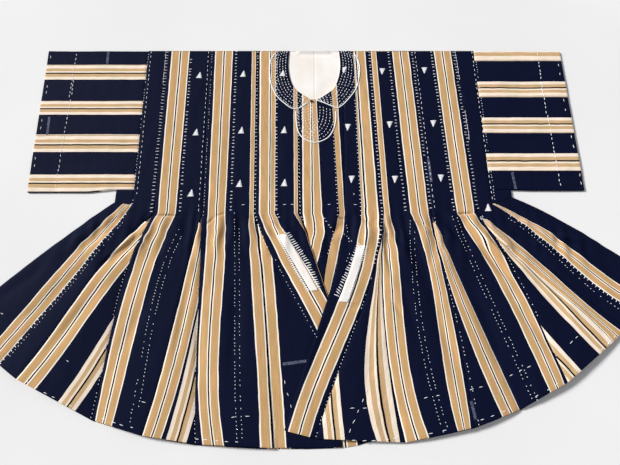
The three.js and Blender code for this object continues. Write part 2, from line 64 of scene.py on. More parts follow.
# Long edges of the pieces. top: x on the shoulder. waist: [x, y]. upper, lower: x at one and two
# thirds down. hem: x on the hem curve, or [x, y]. lift: underside at the waist, upper, lower, hem.
FRONT_EDGES = {
    "side_left": dict(waist=(-426, 26), upper=-529, lower=-620, hem=-710, lift=(3.6, 1.8, 1.8, 1.8)),
    "strip_1_left": dict(top=-396, waist=(-386, 19), upper=-458, lower=-530, hem=-604, lift=(3.6, 4, 5, 5)),
    "strip_1_right": dict(top=-348, waist=(-337, 0), upper=-430, lower=-494, hem=-562, lift=(3.6, 6, 9, 10)),
    "strip_2_left": dict(top=-348, waist=(-337, 0), upper=-381, lower=-398, hem=-409, lift=(3.6, 2.4, 3, 3)),
    "strip_2_right": dict(top=-246, waist=(-233, 0), upper=-258, lower=-280, hem=-310, lift=(3.6, 5, 8, 9)),
    "strip_3_left": dict(top=-246, waist=(-233, 0), upper=-227, lower=-222, hem=-212,
            lift=(3.6, 2.4, 3, 3.4)),
    "strip_3_right": dict(top=-128, waist=(-119, 0), upper=-97, lower=-82, hem=-68, lift=(3.6, 4.2, 5, 6)),
    "strip_4_left": dict(top=-128, waist=(-119, 0), upper=-79, lower=-26, hem=(28, -305),
            lift=(3.6, 4.2, 5.4, 3.6)),
    "strip_4_right": dict(top=-27, waist=(-22, 0), upper=8, lower=40, hem=(62, -290),
            lift=(3.6, 6.6, 5.7, 3.6)),
    "strip_5_left": dict(top=-27, waist=(-22, 0), upper=-2, lower=2, hem=(8, -200),
            lift=(3.6, 3.6, 3.6, 3.6)),
    "strip_5_right": dict(top=82, waist=(75, 0), upper=65, lower=50, hem=(34, -200),
            lift=(3.6, 3.6, 3.6, 3.6)),
    "strip_6_left": dict(top=82, waist=(76, 0), upper=48, lower=0, hem=(-48, -436), lift=(3.6, 8.4, 8.7, 5)),
    "strip_6_right": dict(top=149, waist=(160, 0), upper=126, lower=68, hem=(11, -450),
            lift=(3.6, 4.9, 5.5, 4)),
    "strip_7_left": dict(top=149, waist=(160, 0), upper=150, lower=154, hem=177, lift=(3.6, 3, 4, 3.5)),
    "strip_7_right": dict(top=251, waist=(263, 0), upper=277, lower=295, hem=308, lift=(3.6, 5, 7, 8)),
    "strip_8_left": dict(top=251, waist=(263, 0), upper=305, lower=350, hem=396, lift=(3.6, 2.4, 3, 3)),
    "strip_8_right": dict(top=352, waist=(364, 0), upper=416, lower=456, hem=492, lift=(3.6, 6, 9, 10)),
    "strip_9_left": dict(top=352, waist=(364, 0), upper=456, lower=542, hem=630, lift=(3.6, 2.4, 3, 4)),
    "strip_9_right": dict(top=401, waist=(396, 22), upper=493, lower=566, hem=662, lift=(3.6, 3, 5, 5)),
    "side_right": dict(waist=(442, 38), upper=553, lower=637, hem=729, lift=(3.6, 1.8, 1.8, 1.8)),
    "under_left": dict(waist=(-124, 0), upper=-104, lower=-90, hem=-76, lift=(1.8, 1.8, 1.8, 1.8)),
    "under_right": dict(waist=(-114, 0), upper=-20, lower=35, hem=60, lift=(1.8, 1.8, 1.8, 1.8)),
}
BACK_EDGES = dict(
    FRONT_EDGES,
    strip_3_right=dict(top=-128, waist=(-119, 0), upper=-112, lower=-104, hem=-96),
    strip_4_right=dict(top=-27, waist=(-22, 0), upper=-17, lower=-12, hem=-6),
    strip_5_right=dict(top=82, waist=(76, 0), upper=80, lower=85, hem=90),
    strip_6_right=dict(top=149, waist=(160, 0), upper=165, lower=170, hem=177),
)

# Bands woven into the cloth, as places on the weave's own scale, in mm across it, one band to
# each REPEAT. A tan band is two tan stripes with a black line between them; a cream band is wider
# and paler. BAND_ROWS say where a place on that scale lies across a piece: (band, place, the edge
# it is measured from, then its distance from that edge at the shoulder, waist, upper, lower, hem).
TAN, CREAM = 0, 1
REPEAT = 100
BAND_ROWS = {
    "front_side_left": [
        (TAN, 0, "right", 0, 20, 34, 36, 38), (TAN, 44, "right", 0, 0, 0, 0, 0),
    ],
    "front_gore_1": [
        (TAN, 0, "left", 0, 0, 0, 0, 0), (TAN, 44, "left", 44, 44, 44, 44, 44),
        (CREAM, 100, "left", 84, 84, 84, 89, 96), (CREAM, 138, "left", 121, 121, 121, 126, 133),
    ],
    "front_strip_2": [
        (TAN, 0, "left", 9, 8, 10, 7, 7), (TAN, 44, "left", 53, 47, 52, 49, 42),
    ],
    "front_gore_2": [
        (TAN, 0, "left", 0, 0, 0, 0, 0), (TAN, 44, "left", 37, 37, 37, 38, 36),
        (CREAM, 100, "left", 40, 40, 40, 43, 45), (CREAM, 138, "left", 78, 78, 78, 80, 83),
    ],
    "front_strip_3": [
        (TAN, 0, "left", 14, 12, 7, 4, 14), (TAN, 44, "left", 57, 50, 49, 44, 54),
        (TAN, 100, "right", 14, 12, 23, 22, 24), (TAN, 121, "right", 4, 3, 1, 1, 1),
        (TAN, 123, "right", 0, 0, 0, 0, 0),
    ],
    "front_under_gore": [
        (TAN, 22, "left", 7, 7, 7, 8, 8), (TAN, 44, "left", 31, 31, 31, 32, 33),
    ],
    "front_strip_4": [
        (TAN, 0, "left", 5, 9, 14, 15, 8), (TAN, 22, "left", 32, 32, 37, 39, 28),
        (TAN, 44, "left", 44, 43, 58, 62, 32),
        (TAN, 100, "right", 14, 12, -6, -6, -6), (TAN, 121, "right", 4.5, 4, -16, -16, -16),
        (TAN, 123, "right", 0, 0, -18, -18, -18),
    ],
    "front_strip_5": [
        (TAN, 0, "left", 7, 6, -14, -36, -40), (TAN, 22, "left", 30, 27, 7, -14, -19),
        (TAN, 44, "left", 37, 48, 28, 8, 2),
        (TAN, 100, "right", 35.6, 11.3, 19.8, 18.3, 3.3), (TAN, 126, "right", 35, 11, 19.5, 18, 3),
        (TAN, 144, "right", 22, 0, 0, 0, 0),
    ],
    "front_strip_6": [
        (TAN, 0, "left", 24, 36, 27, 14, 7), (TAN, 19, "left", 26, 41, 46, 33, 26),
        (TAN, 44, "left", 53, 72, 73, 59, 49),
    ],
    "front_gore_3": [
        (CREAM, 0, "right", 135, 135, 135, 139, 151), (CREAM, 38, "right", 97, 97, 97, 101, 113),
        (CREAM, 100, "right", 17, 17, 17, 47, 53), (CREAM, 138, "right", 3, 3, 3, 3, 11),
    ],
    "front_strip_7": [
        (TAN, 0, "left", 0, 0, 0, 0, 0), (TAN, 25, "left", 1, 1, 20, 21, 25),
        (TAN, 44, "left", 13, 12, 36, 37, 44),
        (TAN, 100, "right", 50, 46, 28, 38, 35), (TAN, 144, "right", 10, 7, 2, 5, 10),
    ],
    "front_gore_4": [
        (TAN, 0, "right", 4, 4, 24, 36, 38), (TAN, 44, "right", 0, 0, 0, 0, 0),
    ],
    "front_strip_8": [
        (TAN, 0, "right", 49, 47, 43, 40, 41), (TAN, 44, "right", 8, 9, 7, 4, 8),
    ],
    "front_gore_5": [
        (CREAM, 0, "left", -60, -60, -60, -40, -2), (CREAM, 38, "left", -30, -30, -30, -3, 36),
        (CREAM, 100, "left", -14, -14, 11, 45, 88), (CREAM, 121, "left", -35, -35, 24, 67, 108),
        (CREAM, 138, "left", -1, -1, 25, 79, 128),
        (TAN, 200, "left", 0, 0, 25, 80, 129), (TAN, 244, "left", 0, 0, 51, 100, 160),
    ],
    "front_side_right": [
        (TAN, 0, "left", 0, 0, 0, 0, 0), (TAN, 44, "left", 4, 4, 22, 30, 32),
    ],
    "back_side_left": [(TAN, 0, "right", 0, 20, 34, 36, 38), (TAN, 44, "right", 0, 0, 0, 0, 0)],
    "back_gore_1": [(TAN, 0, "left", 0, 0, 0, 0, 0), (TAN, 44, "left", 44, 44, 44, 44, 44)],
    "back_strip_2": [(TAN, 0, "left", 9, 8, 10, 7, 7), (TAN, 44, "left", 53, 47, 52, 49, 42)],
    "back_gore_2": [(TAN, 0, "left", 0, 0, 0, 0, 0), (TAN, 44, "left", 40, 40, 40, 40, 40)],
    "back_strip_3": [(TAN, 0, "left", 14, 12, 12, 13, 14), (TAN, 44, "left", 57, 50, 52, 53, 54)],
    "back_strip_4": [(TAN, 0, "left", 8, 10, 13, 15, 17), (TAN, 44, "left", 52, 54, 57, 59, 61)],
    "back_strip_5": [(TAN, 0, "left", 16, 26, 34, 42, 50), (TAN, 44, "left", 60, 70, 78, 86, 94)],
    "back_strip_6": [(TAN, 0, "left", 17, 36, 36, 36, 36), (TAN, 44, "left", 60, 72, 74, 76, 78)],
    "back_strip_7": [(TAN, 0, "left", 0, 0, 0, 0, 0), (TAN, 44, "left", 44, 44, 44, 44, 44)],
    "back_gore_3": [(TAN, 0, "right", 4, 4, 24, 36, 38), (TAN, 44, "right", 0, 0, 0, 0, 0)],
    "back_strip_8": [(TAN, 0, "right", 49, 47, 43, 40, 41), (TAN, 44, "right", 8, 9, 7, 4, 8)],
    "back_gore_4": [(TAN, 0, "left", 27, 27, 27, 80, 129), (TAN, 44, "left", 49, 49, 49, 100, 158)],
    "back_side_right": [(TAN, 0, "left", 0, 0, 0, 0, 0), (TAN, 44, "left", 4, 4, 22, 30, 32)],
}
PLAIN_PLACE = 60            # a place on the weave's scale where it is plain indigo
PLAIN_REACH = 50            # how far it is plain beyond a band

# (piece, left edge, right edge, swell of its middle)
FRONT_PIECES = [
    ("front_side_left", "side_left", "strip_1_left", 2.5),
    ("front_strip_1", "strip_1_left", "strip_1_right", 1),
    ("front_gore_1", "strip_1_right", "strip_2_left", 3),
    ("front_strip_2", "strip_2_left", "strip_2_right", 2),
    ("front_gore_2", "strip_2_right", "strip_3_left", 2.5),
    ("front_strip_3", "strip_3_left", "strip_3_right", 2),
    ("front_strip_4", "strip_4_left", "strip_4_right", 0.5),
    ("front_strip_5", "strip_5_left", "strip_5_right", 0),
    ("front_strip_6", "strip_6_left", "strip_6_right", 0.5),
    ("front_gore_3", "strip_6_right", "strip_7_left", 2.5),
    ("front_strip_7", "strip_7_left", "strip_7_right", 2),
    ("front_gore_4", "strip_7_right", "strip_8_left", 2.5),
    ("front_strip_8", "strip_8_left", "strip_8_right", 2),
    ("front_gore_5", "strip_8_right", "strip_9_left", 3),
    ("front_strip_9", "strip_9_left", "strip_9_right", 1),
    ("front_side_right", "strip_9_right", "side_right", 2.5),
    ("front_under_gore", "under_left", "under_right", 0),
]
BACK_PIECES = [
    ("back_side_left", "side_left", "strip_1_left"),
    ("back_strip_1", "strip_1_left", "strip_1_right"),
    ("back_gore_1", "strip_1_right", "strip_2_left"),
    ("back_strip_2", "strip_2_left", "strip_2_right"),
    ("back_gore_2", "strip_2_right", "strip_3_left"),
    ("back_strip_3", "strip_3_left", "strip_3_right"),
    ("back_strip_4", "strip_3_right", "strip_4_right"),
    ("back_strip_5", "strip_4_right", "strip_5_right"),
    ("back_strip_6", "strip_5_right", "strip_6_right"),
    ("back_strip_7", "strip_6_right", "strip_7_right"),
    ("back_gore_3", "strip_7_right", "strip_8_left"),
    ("back_strip_8", "strip_8_left", "strip_8_right"),
    ("back_gore_4", "strip_8_right", "strip_9_left"),
    ("back_strip_9", "strip_9_left", "strip_9_right"),
    ("back_side_right", "strip_9_right", "side_right"),
]
GORE_TIP = 0.05

# Below the waist the cloth is gathered in soft pleats.
GATHER_Y, GATHER_REACH, GATHER_RISE, GATHER_DEPTH = -48, 54, 3, 4.2

# Creases, each a soft trough: (start x, y, end x, y, half width, depth). A negative depth is a ridge.
CREASES = [
    # Gathers under the waist, one or more to each strip.
    (-352, -8, -378, -74, 9, 5.4), (-340, -30, -372, -108, 7, -3.7), (-328, -5, -284, -6, 2.6, 4.1),
    (-300, -10, -318, -92, 8, 3.4), (-268, -8, -270, -70, 9, 4.1), (-246, -4, -247, -96, 6, 3.7),
    (-236, -2, -240, -60, 5, -2.7), (-206, -8, -214, -80, 9, 3.4), (-176, -6, -178, -66, 8, 3.1),
    (-150, -10, -146, -86, 9, 4.4), (-122, -6, -104, -70, 6, 4.1), (-98, -14, -66, -58, 7, 4.4),
    (-76, -22, -56, -36, 3, 3.4), (-40, -20, -14, -78, 9, 3.7), (-16, -6, -8, -50, 5, 3.4),
    (20, -2, 24, -60, 7, 3.4), (60, -11, 78, -16, 2.6, 4.1), (62, -26, 48, -52, 8, 5.1),
    (90, -6, 84, -84, 8, 4.1), (113, -14, 148, -33, 2.6, 4.4), (122, -40, 110, -96, 9, -3.4),
    (158, -14, 166, -70, 6, 3.7), (176, -16, 192, -72, 9, 6.1), (206, -30, 238, -146, 13, 6.8),
    (190, -60, 214, -128, 11, -4.1), (220, -14, 254, -35, 2.6, 4.4), (258, -8, 274, -88, 6, 4.1),
    (284, -12, 338, -72, 11, 6.1), (300, -4, 316, -40, 6, -3.4), (318, -2, 354, 0, 2.6, 4.1),
    (336, -30, 404, -134, 10, 7.1), (352, -34, 408, -112, 8, -5.4), (366, -14, 392, -46, 5, 3.7),
    (396, -30, 450, -84, 8, 4.4), (420, -50, 490, -112, 9, 5.1), (456, -34, 516, -72, 8, 4.1),
    (450, -140, 510, -222, 10, 5.1), (440, 8, 508, -42, 8, 3.4), (-398, 0, -452, -52, 9, 4.1),
    (-356, -46, -428, -120, 8, 5.1), (-420, -20, -500, -96, 12, 4.1), (-470, -120, -560, -222, 14, 3.4),
    # Short breaks lower down, and folds running out towards the hem.
    (168, -196, 187, -222, 3, 4.1), (74, -204, 99, -206, 2.6, 3.7), (157, -62, 170, -140, 4, 3.1),
    (186, -150, 214, -262, 10, 2.7), (-250, -150, -262, -300, 9, 3.4), (-222, -200, -216, -330, 8, 2.7),
    (-152, -160, -150, -320, 13, 2.9), (-330, -180, -366, -290, 12, 3.1), (-430, -170, -510, -290, 13, 3.7),
    (-60, -120, -20, -220, 10, 3.1), (38, -230, 2, -350, 12, 3.1), (246, -170, 284, -330, 13, 3.4),
    (330, -160, 372, -290, 12, 3.1), (410, -180, 470, -290, 12, 3.7), (536, -130, 620, -214, 13, 3.1),
    (560, -70, 640, -140, 11, 2.7), (120, -230, 112, -370, 12, 2.7), (-560, -120, -640, -190, 12, 3.1),
    # The bodice and sleeves, where they have been folded and pressed.
    (-300, 300, -296, 150, 14, 1.4), (-180, 250, -184, 60, 12, 1.4), (-78, 220, -74, 40, 11, 1.4),
    (112, 330, 128, 180, 9, 1.7), (206, 260, 212, 90, 13, 1.4), (318, 240, 330, 60, 13, 1.5),
    (-480, 120, -610, 108, 12, 1.8), (-420, 300, -560, 292, 14, 1.5), (-430, 200, -600, 214, 11, -1.4),
    (440, 330, 560, 322, 14, 1.5), (430, 180, 590, 190, 12, 1.7), (460, 90, 590, 82, 9, 1.8),
    (92, 384, 118, 380, 2.2, 1.4), (94, 350, 120, 347, 2.2, 1.4),
    # Tucks across the stripes at the waist.
    (-220, -26, -206, -9, 2.4, 2.6), (-200, -6, -184, -1, 2.4, 2.4), (-134, -7, -118, -13, 2.4, 2.6),
    (-117, -4, -103, -18, 2.4, 2.4), (-21, -3, -14, -18, 2.4, 2.2), (186, -22, 204, -36, 2.4, 2.6),
    # Deeper folds on the right, where the skirt was pushed together, and the ones that answer them.
    (338, -40, 400, -128, 7, 5.1), (362, -52, 416, -118, 6, -4.4), (436, -52, 470, -66, 6, 4.4),
    (522, -60, 560, -74, 6, 4.1), (530, -48, 572, -66, 6, -3.7), (452, -118, 512, -184, 7, 4.4),
    (-430, -112, -356, -50, 6, 4.1), (-380, -36, -346, -72, 6, 4.1), (-418, -96, -350, -32, 6, -3.1),
    (182, -22, 191, -66, 5, 4.1), (214, -44, 237, -140, 7, 5.1), (292, -20, 334, -66, 7, 5.1),
]

# The neck opening's outline, and the lining seen in it.
NECK_POINT = (11, 290)
NECK_OUTLINE = [
    (-50, 440), (-52, 380), (-42, 331), (-20, 306), NECK_POINT, (45, 309), (62, 331), (73, 380), (70, 440),
]
NECK_PIECES = ("front_strip_4", "front_strip_5")
NECK_SIDES = (-50, 70)
BACK_NECK_TOP = 3.7
LINING = dict(left=-70, seam=11, right=92, bottom=268, top=429, lift=1.8, roll=3)
NECK_ROLL = 44              # half the width over which the lining rolls over the back neck

# Sleeves: x at the cuff (shoulder, underarm), the edge they are sewn to, how far the lower fold
# hangs, and their cream bands: (place on the weave at its lower and upper side, y of both).
SLEEVES = [
    dict(name="sleeve_left", cuff=(-640, -621), seam="strip_1_left", outward=-1, sag=6, bands=[
        (38, 0, 55, 92), (38, 0, 150, 190), (38, 0, 248, 284), (38, 0, 346, 386),
    ]),
    dict(name="sleeve_right", cuff=(612, 603), seam="strip_9_right", outward=1, sag=1.5, bands=[
        (0, 38, 104, 146), (0, 38, 202, 240), (0, 38, 301, 340), (0, 17.5, 404, 429),
    ]),
]
GUSSETS = [
    dict(name="gusset_left", seam="strip_1_left", edge="side_left", outward=-1),
    dict(name="gusset_right", seam="strip_9_right", edge="side_right", outward=1),
]

# Couched cord round the yoke's two lobes and the placket.
CORD_RADIUS = 1.5
CORD_FLAT = 0.6             # how far couching has pressed it, its height as a share of its width
CORD_SIDES = 10
CORD_STEP = 1.2
CORD_TWIST = 8              # length of one turn of its strands
CORD_ROUTES = {
    "yoke_cord_left": [
        (-86, 422), (-96, 398), (-97, 364), (-92, 331), (-79, 300),
        (-59, 278), (-42, 265), (-26, 266), (-12, 275), (-8, 279),
    ],
    "yoke_cord_right": [
        (108, 422), (118, 397), (120, 373), (116, 343), (108, 317),
        (87, 286), (67, 267), (51, 271), (35, 279), (17, 287),
    ],
    "placket_cord": [
        (-33, 257), (-31, 224), (-25, 198), (-11, 182), (8, 174),
        (25, 177), (43, 189), (55, 211), (60, 235), (60, 257),
    ],
}
BUTTON = dict(at=(3, 284), radius=3.4, height=3.6)
# From its middle below, round the rim, to its sunk middle on top, in shares of radius and height.
BUTTON_PROFILE = [
    (0, 0.1), (0.75, 0.1), (1, 0.45), (0.96, 0.75), (0.8, 0.98), (0.62, 0.9), (0.5, 0.72), (0, 0.68),
]

# White facings of the pocket mouths: the piece they lie on, the rows they run between, and the
# shares of its width that they cover at the upper and at the lower end.
FACINGS = [
    dict(name="pocket_facing_left", on="front_strip_4", rows=(0.17, 0.58),
         upper=(0.34, 0.56), lower=(0.58, 0.78)),
    dict(name="pocket_facing_right", on="front_strip_6", rows=(0.17, 0.44),
         upper=(0.44, 0.62), lower=(0.32, 0.57)),
]

# Inside the placket, stitches run in rows from its outline to its middle.
PLACKET_OUTLINE = [
    (-31, 268), (-30, 224), (-24, 199), (-10, 184), (8, 177),
    (25, 180), (42, 192), (54, 212), (59, 236), (58, 262),
]
PLACKET_MIDDLE = [(12, 280), (12, 240), (13, 222), (14, 222), (15, 240), (16, 274)]
YOKE_ROWS, PLACKET_ROWS = 6, 5

FACING_RISE = 1.2           # top of a facing above the cloth it lies on
JOIN_DISTANCE = 1e-6
CUT_DEPTH = 20
DROP_FROM = 60              # height from which stitches are dropped onto the cloth
THREAD_FLAT = 0.7           # height of a stitch as a share of its width
THREAD_PROUD = 0.15
CHALK_WIDTH = 5.5
CHALK_RISE = 0.12
HAND = random.Random(7)

# Hand stitches, in white cotton. length runs along the thread, turn is its angle to the line, and
# missed is the share that has sunk into the cloth.
STITCHES = {
    "tick": dict(length=6, width=1.9, pitch=9.2, turn=90, missed=0.04),
    "long_tick": dict(length=8, width=1.5, pitch=8.6, turn=90),
    "slant": dict(length=4.6, width=1.5, pitch=8.8, turn=55),
    "nick": dict(length=4.2, width=1.8, pitch=9.4, turn=90),
    "dot": dict(length=2.7, width=1.4, pitch=7.4, turn=20, missed=0.22),
    "dash": dict(length=7, width=1.3, pitch=13, turn=0),
    "run": dict(length=8, width=1.4, pitch=21, turn=0),
    "thread": dict(length=9.5, width=1.1, pitch=9, turn=0),
    "fine": dict(length=4.6, width=1.7, pitch=7.8, turn=0),
    "whip": dict(length=12, width=2.3, pitch=5.6, turn=84),
    "tooth": dict(length=10, width=2.1, pitch=4.4, turn=84),
    "over": dict(length=4.2, width=2.3, pitch=4.2, turn=80),
    "bar": dict(length=11, width=3, pitch=20, turn=0),
    "bead": dict(length=5.5, width=1.4, pitch=10, turn=0),
    "tack": dict(length=7.5, width=1.5, pitch=12, turn=4),
}

# Rows of stitches that follow a seam: (edge, first row, last row, offset at both, kind).
SEAM_STITCHES = [
    ("strip_1_left", -1, 0, 1, 0, "dot"), ("strip_1_left", -1, -0.05, 7, 8, "dash"),
    ("strip_1_left", 0.05, 1, 2, 2, "tick"), ("strip_1_left", 0.1, 0.95, 10, 8, "dot"),
    ("strip_2_left", -1, 0, -1, -5, "long_tick"), ("strip_2_left", -1, -0.78, -5, -5, "thread"),
    ("strip_2_left", -0.97, 0, 58, 56, "tick"), ("strip_2_left", 0.05, 1, -3, -2, "dot"),
    ("strip_2_left", 0, 1, 68, 74, "dot"), ("strip_2_left", 0.03, 0.95, 80, 85, "dot"),
    ("strip_3_left", -1, 0, -2, -8, "dash"), ("strip_3_left", -1, 0.05, 7, 3, "dot"),
    ("strip_3_left", -1, 0, 66, 62, "tick"), ("strip_3_left", 0.35, 1, -3, 0, "dot"),
    ("strip_3_left", 0, 1, 70, 78, "dot"), ("strip_3_left", 0.08, 1, 80, 88, "dot"),
    ("strip_4_left", -1, 0.3, 0, 0, "nick"), ("strip_4_left", 0.32, 0.95, 5, 5, "dot"),
    ("strip_4_left", -1, 0.1, 47, 46, "tick"),
    ("strip_5_left", -0.62, 0.14, -3, 1, "slant"), ("strip_5_right", -0.47, 0.1, -24, -13.5, "nick"),
    ("strip_6_left", -0.68, 0.02, 26, 35, "nick"), ("strip_6_right", -1, 0.28, -4, -4, "tick"),
    ("strip_6_right", 0.3, 1, -2, -1, "dot"),
    ("strip_7_left", -1, 0, 43, 47, "tick"), ("strip_7_left", 0.02, 1, 56, 72, "dot"),
    ("strip_7_left", 0.06, 1, 66, 82, "dot"),
    ("strip_8_left", -1, -0.02, -1, -1, "tick"), ("strip_8_left", -1, -0.02, 6, 7, "dash"),
    ("strip_8_left", -1, 0, 46, 49, "tick"), ("strip_7_right", 0.02, 1, 4, 6, "dot"),
    ("strip_8_left", 0.04, 1, 38, 29, "dot"), ("strip_8_left", 0.04, 1, 47, 38, "dot"),
    ("strip_9_left", -1, -0.02, 0, 0, "long_tick"), ("strip_9_left", -1, -0.8, 4, 4, "thread"),
    ("strip_9_left", -0.6, -0.42, 5, 5, "thread"), ("strip_8_right", 0.03, 0.95, 2, 2, "dot"),
    ("strip_9_right", -1, -0.02, -4, 2, "dash"), ("strip_9_right", -1, -0.02, 3, 7, "dot"),
    ("strip_9_right", 0.1, 1, -2, -2, "tick"), ("strip_9_right", 0.1, 0.95, -10, -14, "dot"),
]

# Other rows of stitches, from point to point: (x, y, x, y, kind).
LOOSE_STITCHES = [
    (29, -9, 51, -46, "slant"), (51, -46, 37, -97, "slant"),
    (-70, -46, -60, -38, "bead"), (-60, -38, -47, -50, "bead"), (-47, -50, -55, -62, "bead"),
    (-55, -62, -70, -46, "bead"), (-63, -50, -53, -50, "bead"),
    (-48, -45, -6, -110, "whip"), (-6, -110, 19, -166, "whip"), (105, -69, 85, -116, "whip"),
    (85, -116, 53, -184, "whip"), (-68, -52, -38, -112, "tooth"), (-38, -112, -2, -172, "tooth"),
    (119, -78, 98, -133, "over"), (98, -133, 78, -189, "over"), (-392, 14, -386, 24, "bar"),
    (366, -10, 370, -6, "bead"), (370, -6, 374, -10, "bead"), (374, -10, 370, -14, "bead"),
    (370, -14, 366, -10, "bead"), (78, -25, 84, -75, "dot"), (66, -42, 90, -66, "dot"),
    (70, -30, 62, -58, "dot"), (84, -90, 74, -112, "dot"),
    (-52, -337, -33, -402, "run"), (67, -396, 114, -397, "run"), (113, -356, 69, -446, "run"),
    (205, -381, 256, -372, "run"), (299, -365, 335, -357, "run"), (378, -341, 433, -317, "run"),
    (503, -282, 532, -259, "run"), (-325, -381, -300, -391, "run"), (-157, -414, -105, -410, "run"),
    (-482, -304, -458, -317, "run"), (-626, -214, -608, -222, "run"),
    (-148, 20, -141, 20, "dash"), (-58, 20, -51, 20, "dash"), (-42, 20, -35, 20, "dash"),
    (38, 20, 45, 20, "dash"), (96, 20, 103, 20, "dash"), (96, 42, 96, 50, "dash"),
    (-571, 423, -568, 292, "tack"), (-566, 345, -563, 300, "tack"), (-564, 292, -561, 60, "tack"),
    (556, 425, 551, 250, "tack"), (552, 340, 550, 300, "tack"), (553, 250, 552, 62, "tack"),
    (-633, 423, -631, 398, "run"), (-626, 340, -624, 295, "run"), (-622, 245, -620, 200, "run"),
    (-618, 146, -616, 103, "run"), (603, 400, 601, 350, "run"), (598, 296, 597, 250, "run"),
    (598, 198, 598, 155, "run"), (600, 100, 599, 66, "run"),
]
# Runs of stitches along the hem, from x to x.
HEM_STITCHES = [
    (-695, -600), (-545, -440), (-395, -318), (-220, -125), (70, 170),
    (215, 262), (312, 375), (420, 480), (560, 610),
]
HEM_STITCH_ABOVE = 9

# Satin-stitched triangles: the middle of each, and whether it points up.
TRIANGLE = dict(base=14.5, height=17, pitch=1.7, width=2, lean=0.12)
TRIANGLES = [
    (-266, 358, True), (-262, 201, True), (-261, 48, True), (-161, 362, True), (-158, 206, True),
    (-156, 71, True), (-66, 364, True), (-60, 207, True), (-57, 73, True), (83, 373, False),
    (88, 214, False), (93, 81, False), (175, 369, False), (185, 221, False), (189, 81, False),
    (277, 372, False), (286, 224, False), (291, 84, False), (385, 13, True),
]
CHALK_MARKS = [
    (-494, 428, -492, 390), (-606, 242, -602, 194), (450, 100, 452, 58), (-53, -316, -7, -310),
    (266, 132, 268, 75), (304, -384, 309, -417),
]


# ---- Where things are ---------------------------------------------------------------------------
SLEEVE_LOW, SLEEVE_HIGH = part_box("sleeve_left")
ORIGIN = Vector((SLEEVE_LOW.x - LEFT_CUFF_X * MM, SLEEVE_HIGH.y - SHOULDER_Y * MM, 0))


def lerp(start, end, share):
    return start + (end - start) * share


def in_frame(x, y, z):
    """A garment point in mm as a point of the frame in metres."""
    return ORIGIN + Vector((x, y, z)) * MM


def hem_y(x):
    return HEM_Y + HEM_RISE * (abs(x - HEM_X) / HEM_REACH) ** HEM_POWER


def cubic_through(values, t):
    """The cubic that passes through four values at 0, 1/3, 2/3 and 1."""
    start, upper, lower, end = values
    u = 3 * t
    return (-start * (u - 1) * (u - 2) * (u - 3) / 6 + upper * u * (u - 2) * (u - 3) / 2
            - lower * u * (u - 1) * (u - 3) / 2 + end * u * (u - 1) * (u - 2) / 6)


def soft_through(values, t):
    """Values at 0, 1/3, 2/3 and 1 joined by soft steps."""
    span = min(int(3 * t), 2)
    share = 3 * t - span
    return lerp(values[span], values[span + 1], share * share * (3 - 2 * share))


def edge_point(edge, row, drop):
    """A point of an edge on plan. row is -1 on the shoulder, 0 at the waist, 1 at the hem."""
    if row < 0:
        return Vector((lerp(edge["waist"][0], edge["top"], -row), lerp(edge["waist"][1], SHOULDER_Y, -row)))
    hem = edge["hem"]
    hem_x, end_y = hem if isinstance(hem, tuple) else (hem, hem_y(hem) - drop)
    x = cubic_through((edge["waist"][0], edge["upper"], edge["lower"], hem_x), row)
    return Vector((x, lerp(edge["waist"][1], end_y, row)))


def band_distance(values, row):
    """A band row's distance from its edge, from its values at shoulder, waist, upper, lower, hem."""
    top, waist, upper, lower, hem = values
    return lerp(waist, top, -row) if row < 0 else cubic_through((waist, upper, lower, hem), row)


def weave_across(piece, row, width):
    """Places across a piece at one row: (distance from its left edge, place on the weave, band)."""
    places = []
    rows = BAND_ROWS.get(piece, [])
    for index, (band, place, side, *values) in enumerate(rows):
        wanted = band_distance(values, row)
        wanted = wanted if side == "left" else width - wanted
        # A band that has not come out of the seam yet waits just inside it.
        room = 0.3
        kept = min(max(wanted, room * (index + 1)), width - room * (len(rows) - index))
        hidden = min(max(kept - wanted, -PLAIN_REACH), PLAIN_REACH)
        places.append((kept, place + hidden, band))
    if not places:
        return [(0, PLAIN_PLACE, TAN), (width, PLAIN_PLACE + 1, TAN)]
    first, last = places[0], places[-1]
    places.insert(0, (0, first[1] - min(first[0], PLAIN_REACH), first[2]))
    places.append((width, last[1] + min(width - last[0], PLAIN_REACH), last[2]))
    return places


def gathered(y):
    """How much the cloth is gathered at a height y, from 0 to 1."""
    return math.exp(-((y - GATHER_Y) / GATHER_REACH) ** 2)


def sway(x, y):
    """How far the gathers push the cloth sideways."""
    return (0.3 + 2.2 * gathered(y)) * noise.noise(Vector((x / 26, y / 22, 40.5)))


def relief(x, y):
    """How far the cloth stands above its solid's form: creases, and a slight unevenness."""
    height = 0.8 * noise.noise(Vector((x / 60, y / 110, 3))) + 0.5 * noise.noise(Vector((x / 17, y / 44, 9)))
    height += gathered(y) * (GATHER_RISE + GATHER_DEPTH * noise.noise(Vector((x / 15, y / 75, 21.5))))
    for x0, y0, x1, y1, half, depth in CREASES:
        along = Vector((x1 - x0, y1 - y0))
        away = Vector((x - x0, y - y0))
        share = away.dot(along) / along.length_squared
        if -0.2 < share < 1.2:
            off = abs(away.cross(along)) / along.length
            if off < 3 * half:
                ends = math.sin(math.pi * min(max((share + 0.2) / 1.4, 0), 1))
                height -= depth * ends * math.exp(-(off / half) ** 2)
    return height


def smooth_line(points, steps):
    """A curve through points, with steps stops between each two."""
    points = [Vector(point) for point in points]
    line = []
    for index in range(len(points) - 1):
        before, after = points[max(index - 1, 0)], points[min(index + 2, len(points) - 1)]
        start, end = points[index], points[index + 1]
        for step in range(steps):
            t = step / steps
            bend = 2 * before - 5 * start + 4 * end - after
            twist = 3 * start - before - 3 * end + after
            line.append(0.5 * (2 * start + (end - before) * t + bend * t * t + twist * t ** 3))
    line.append(points[-1])
    return line


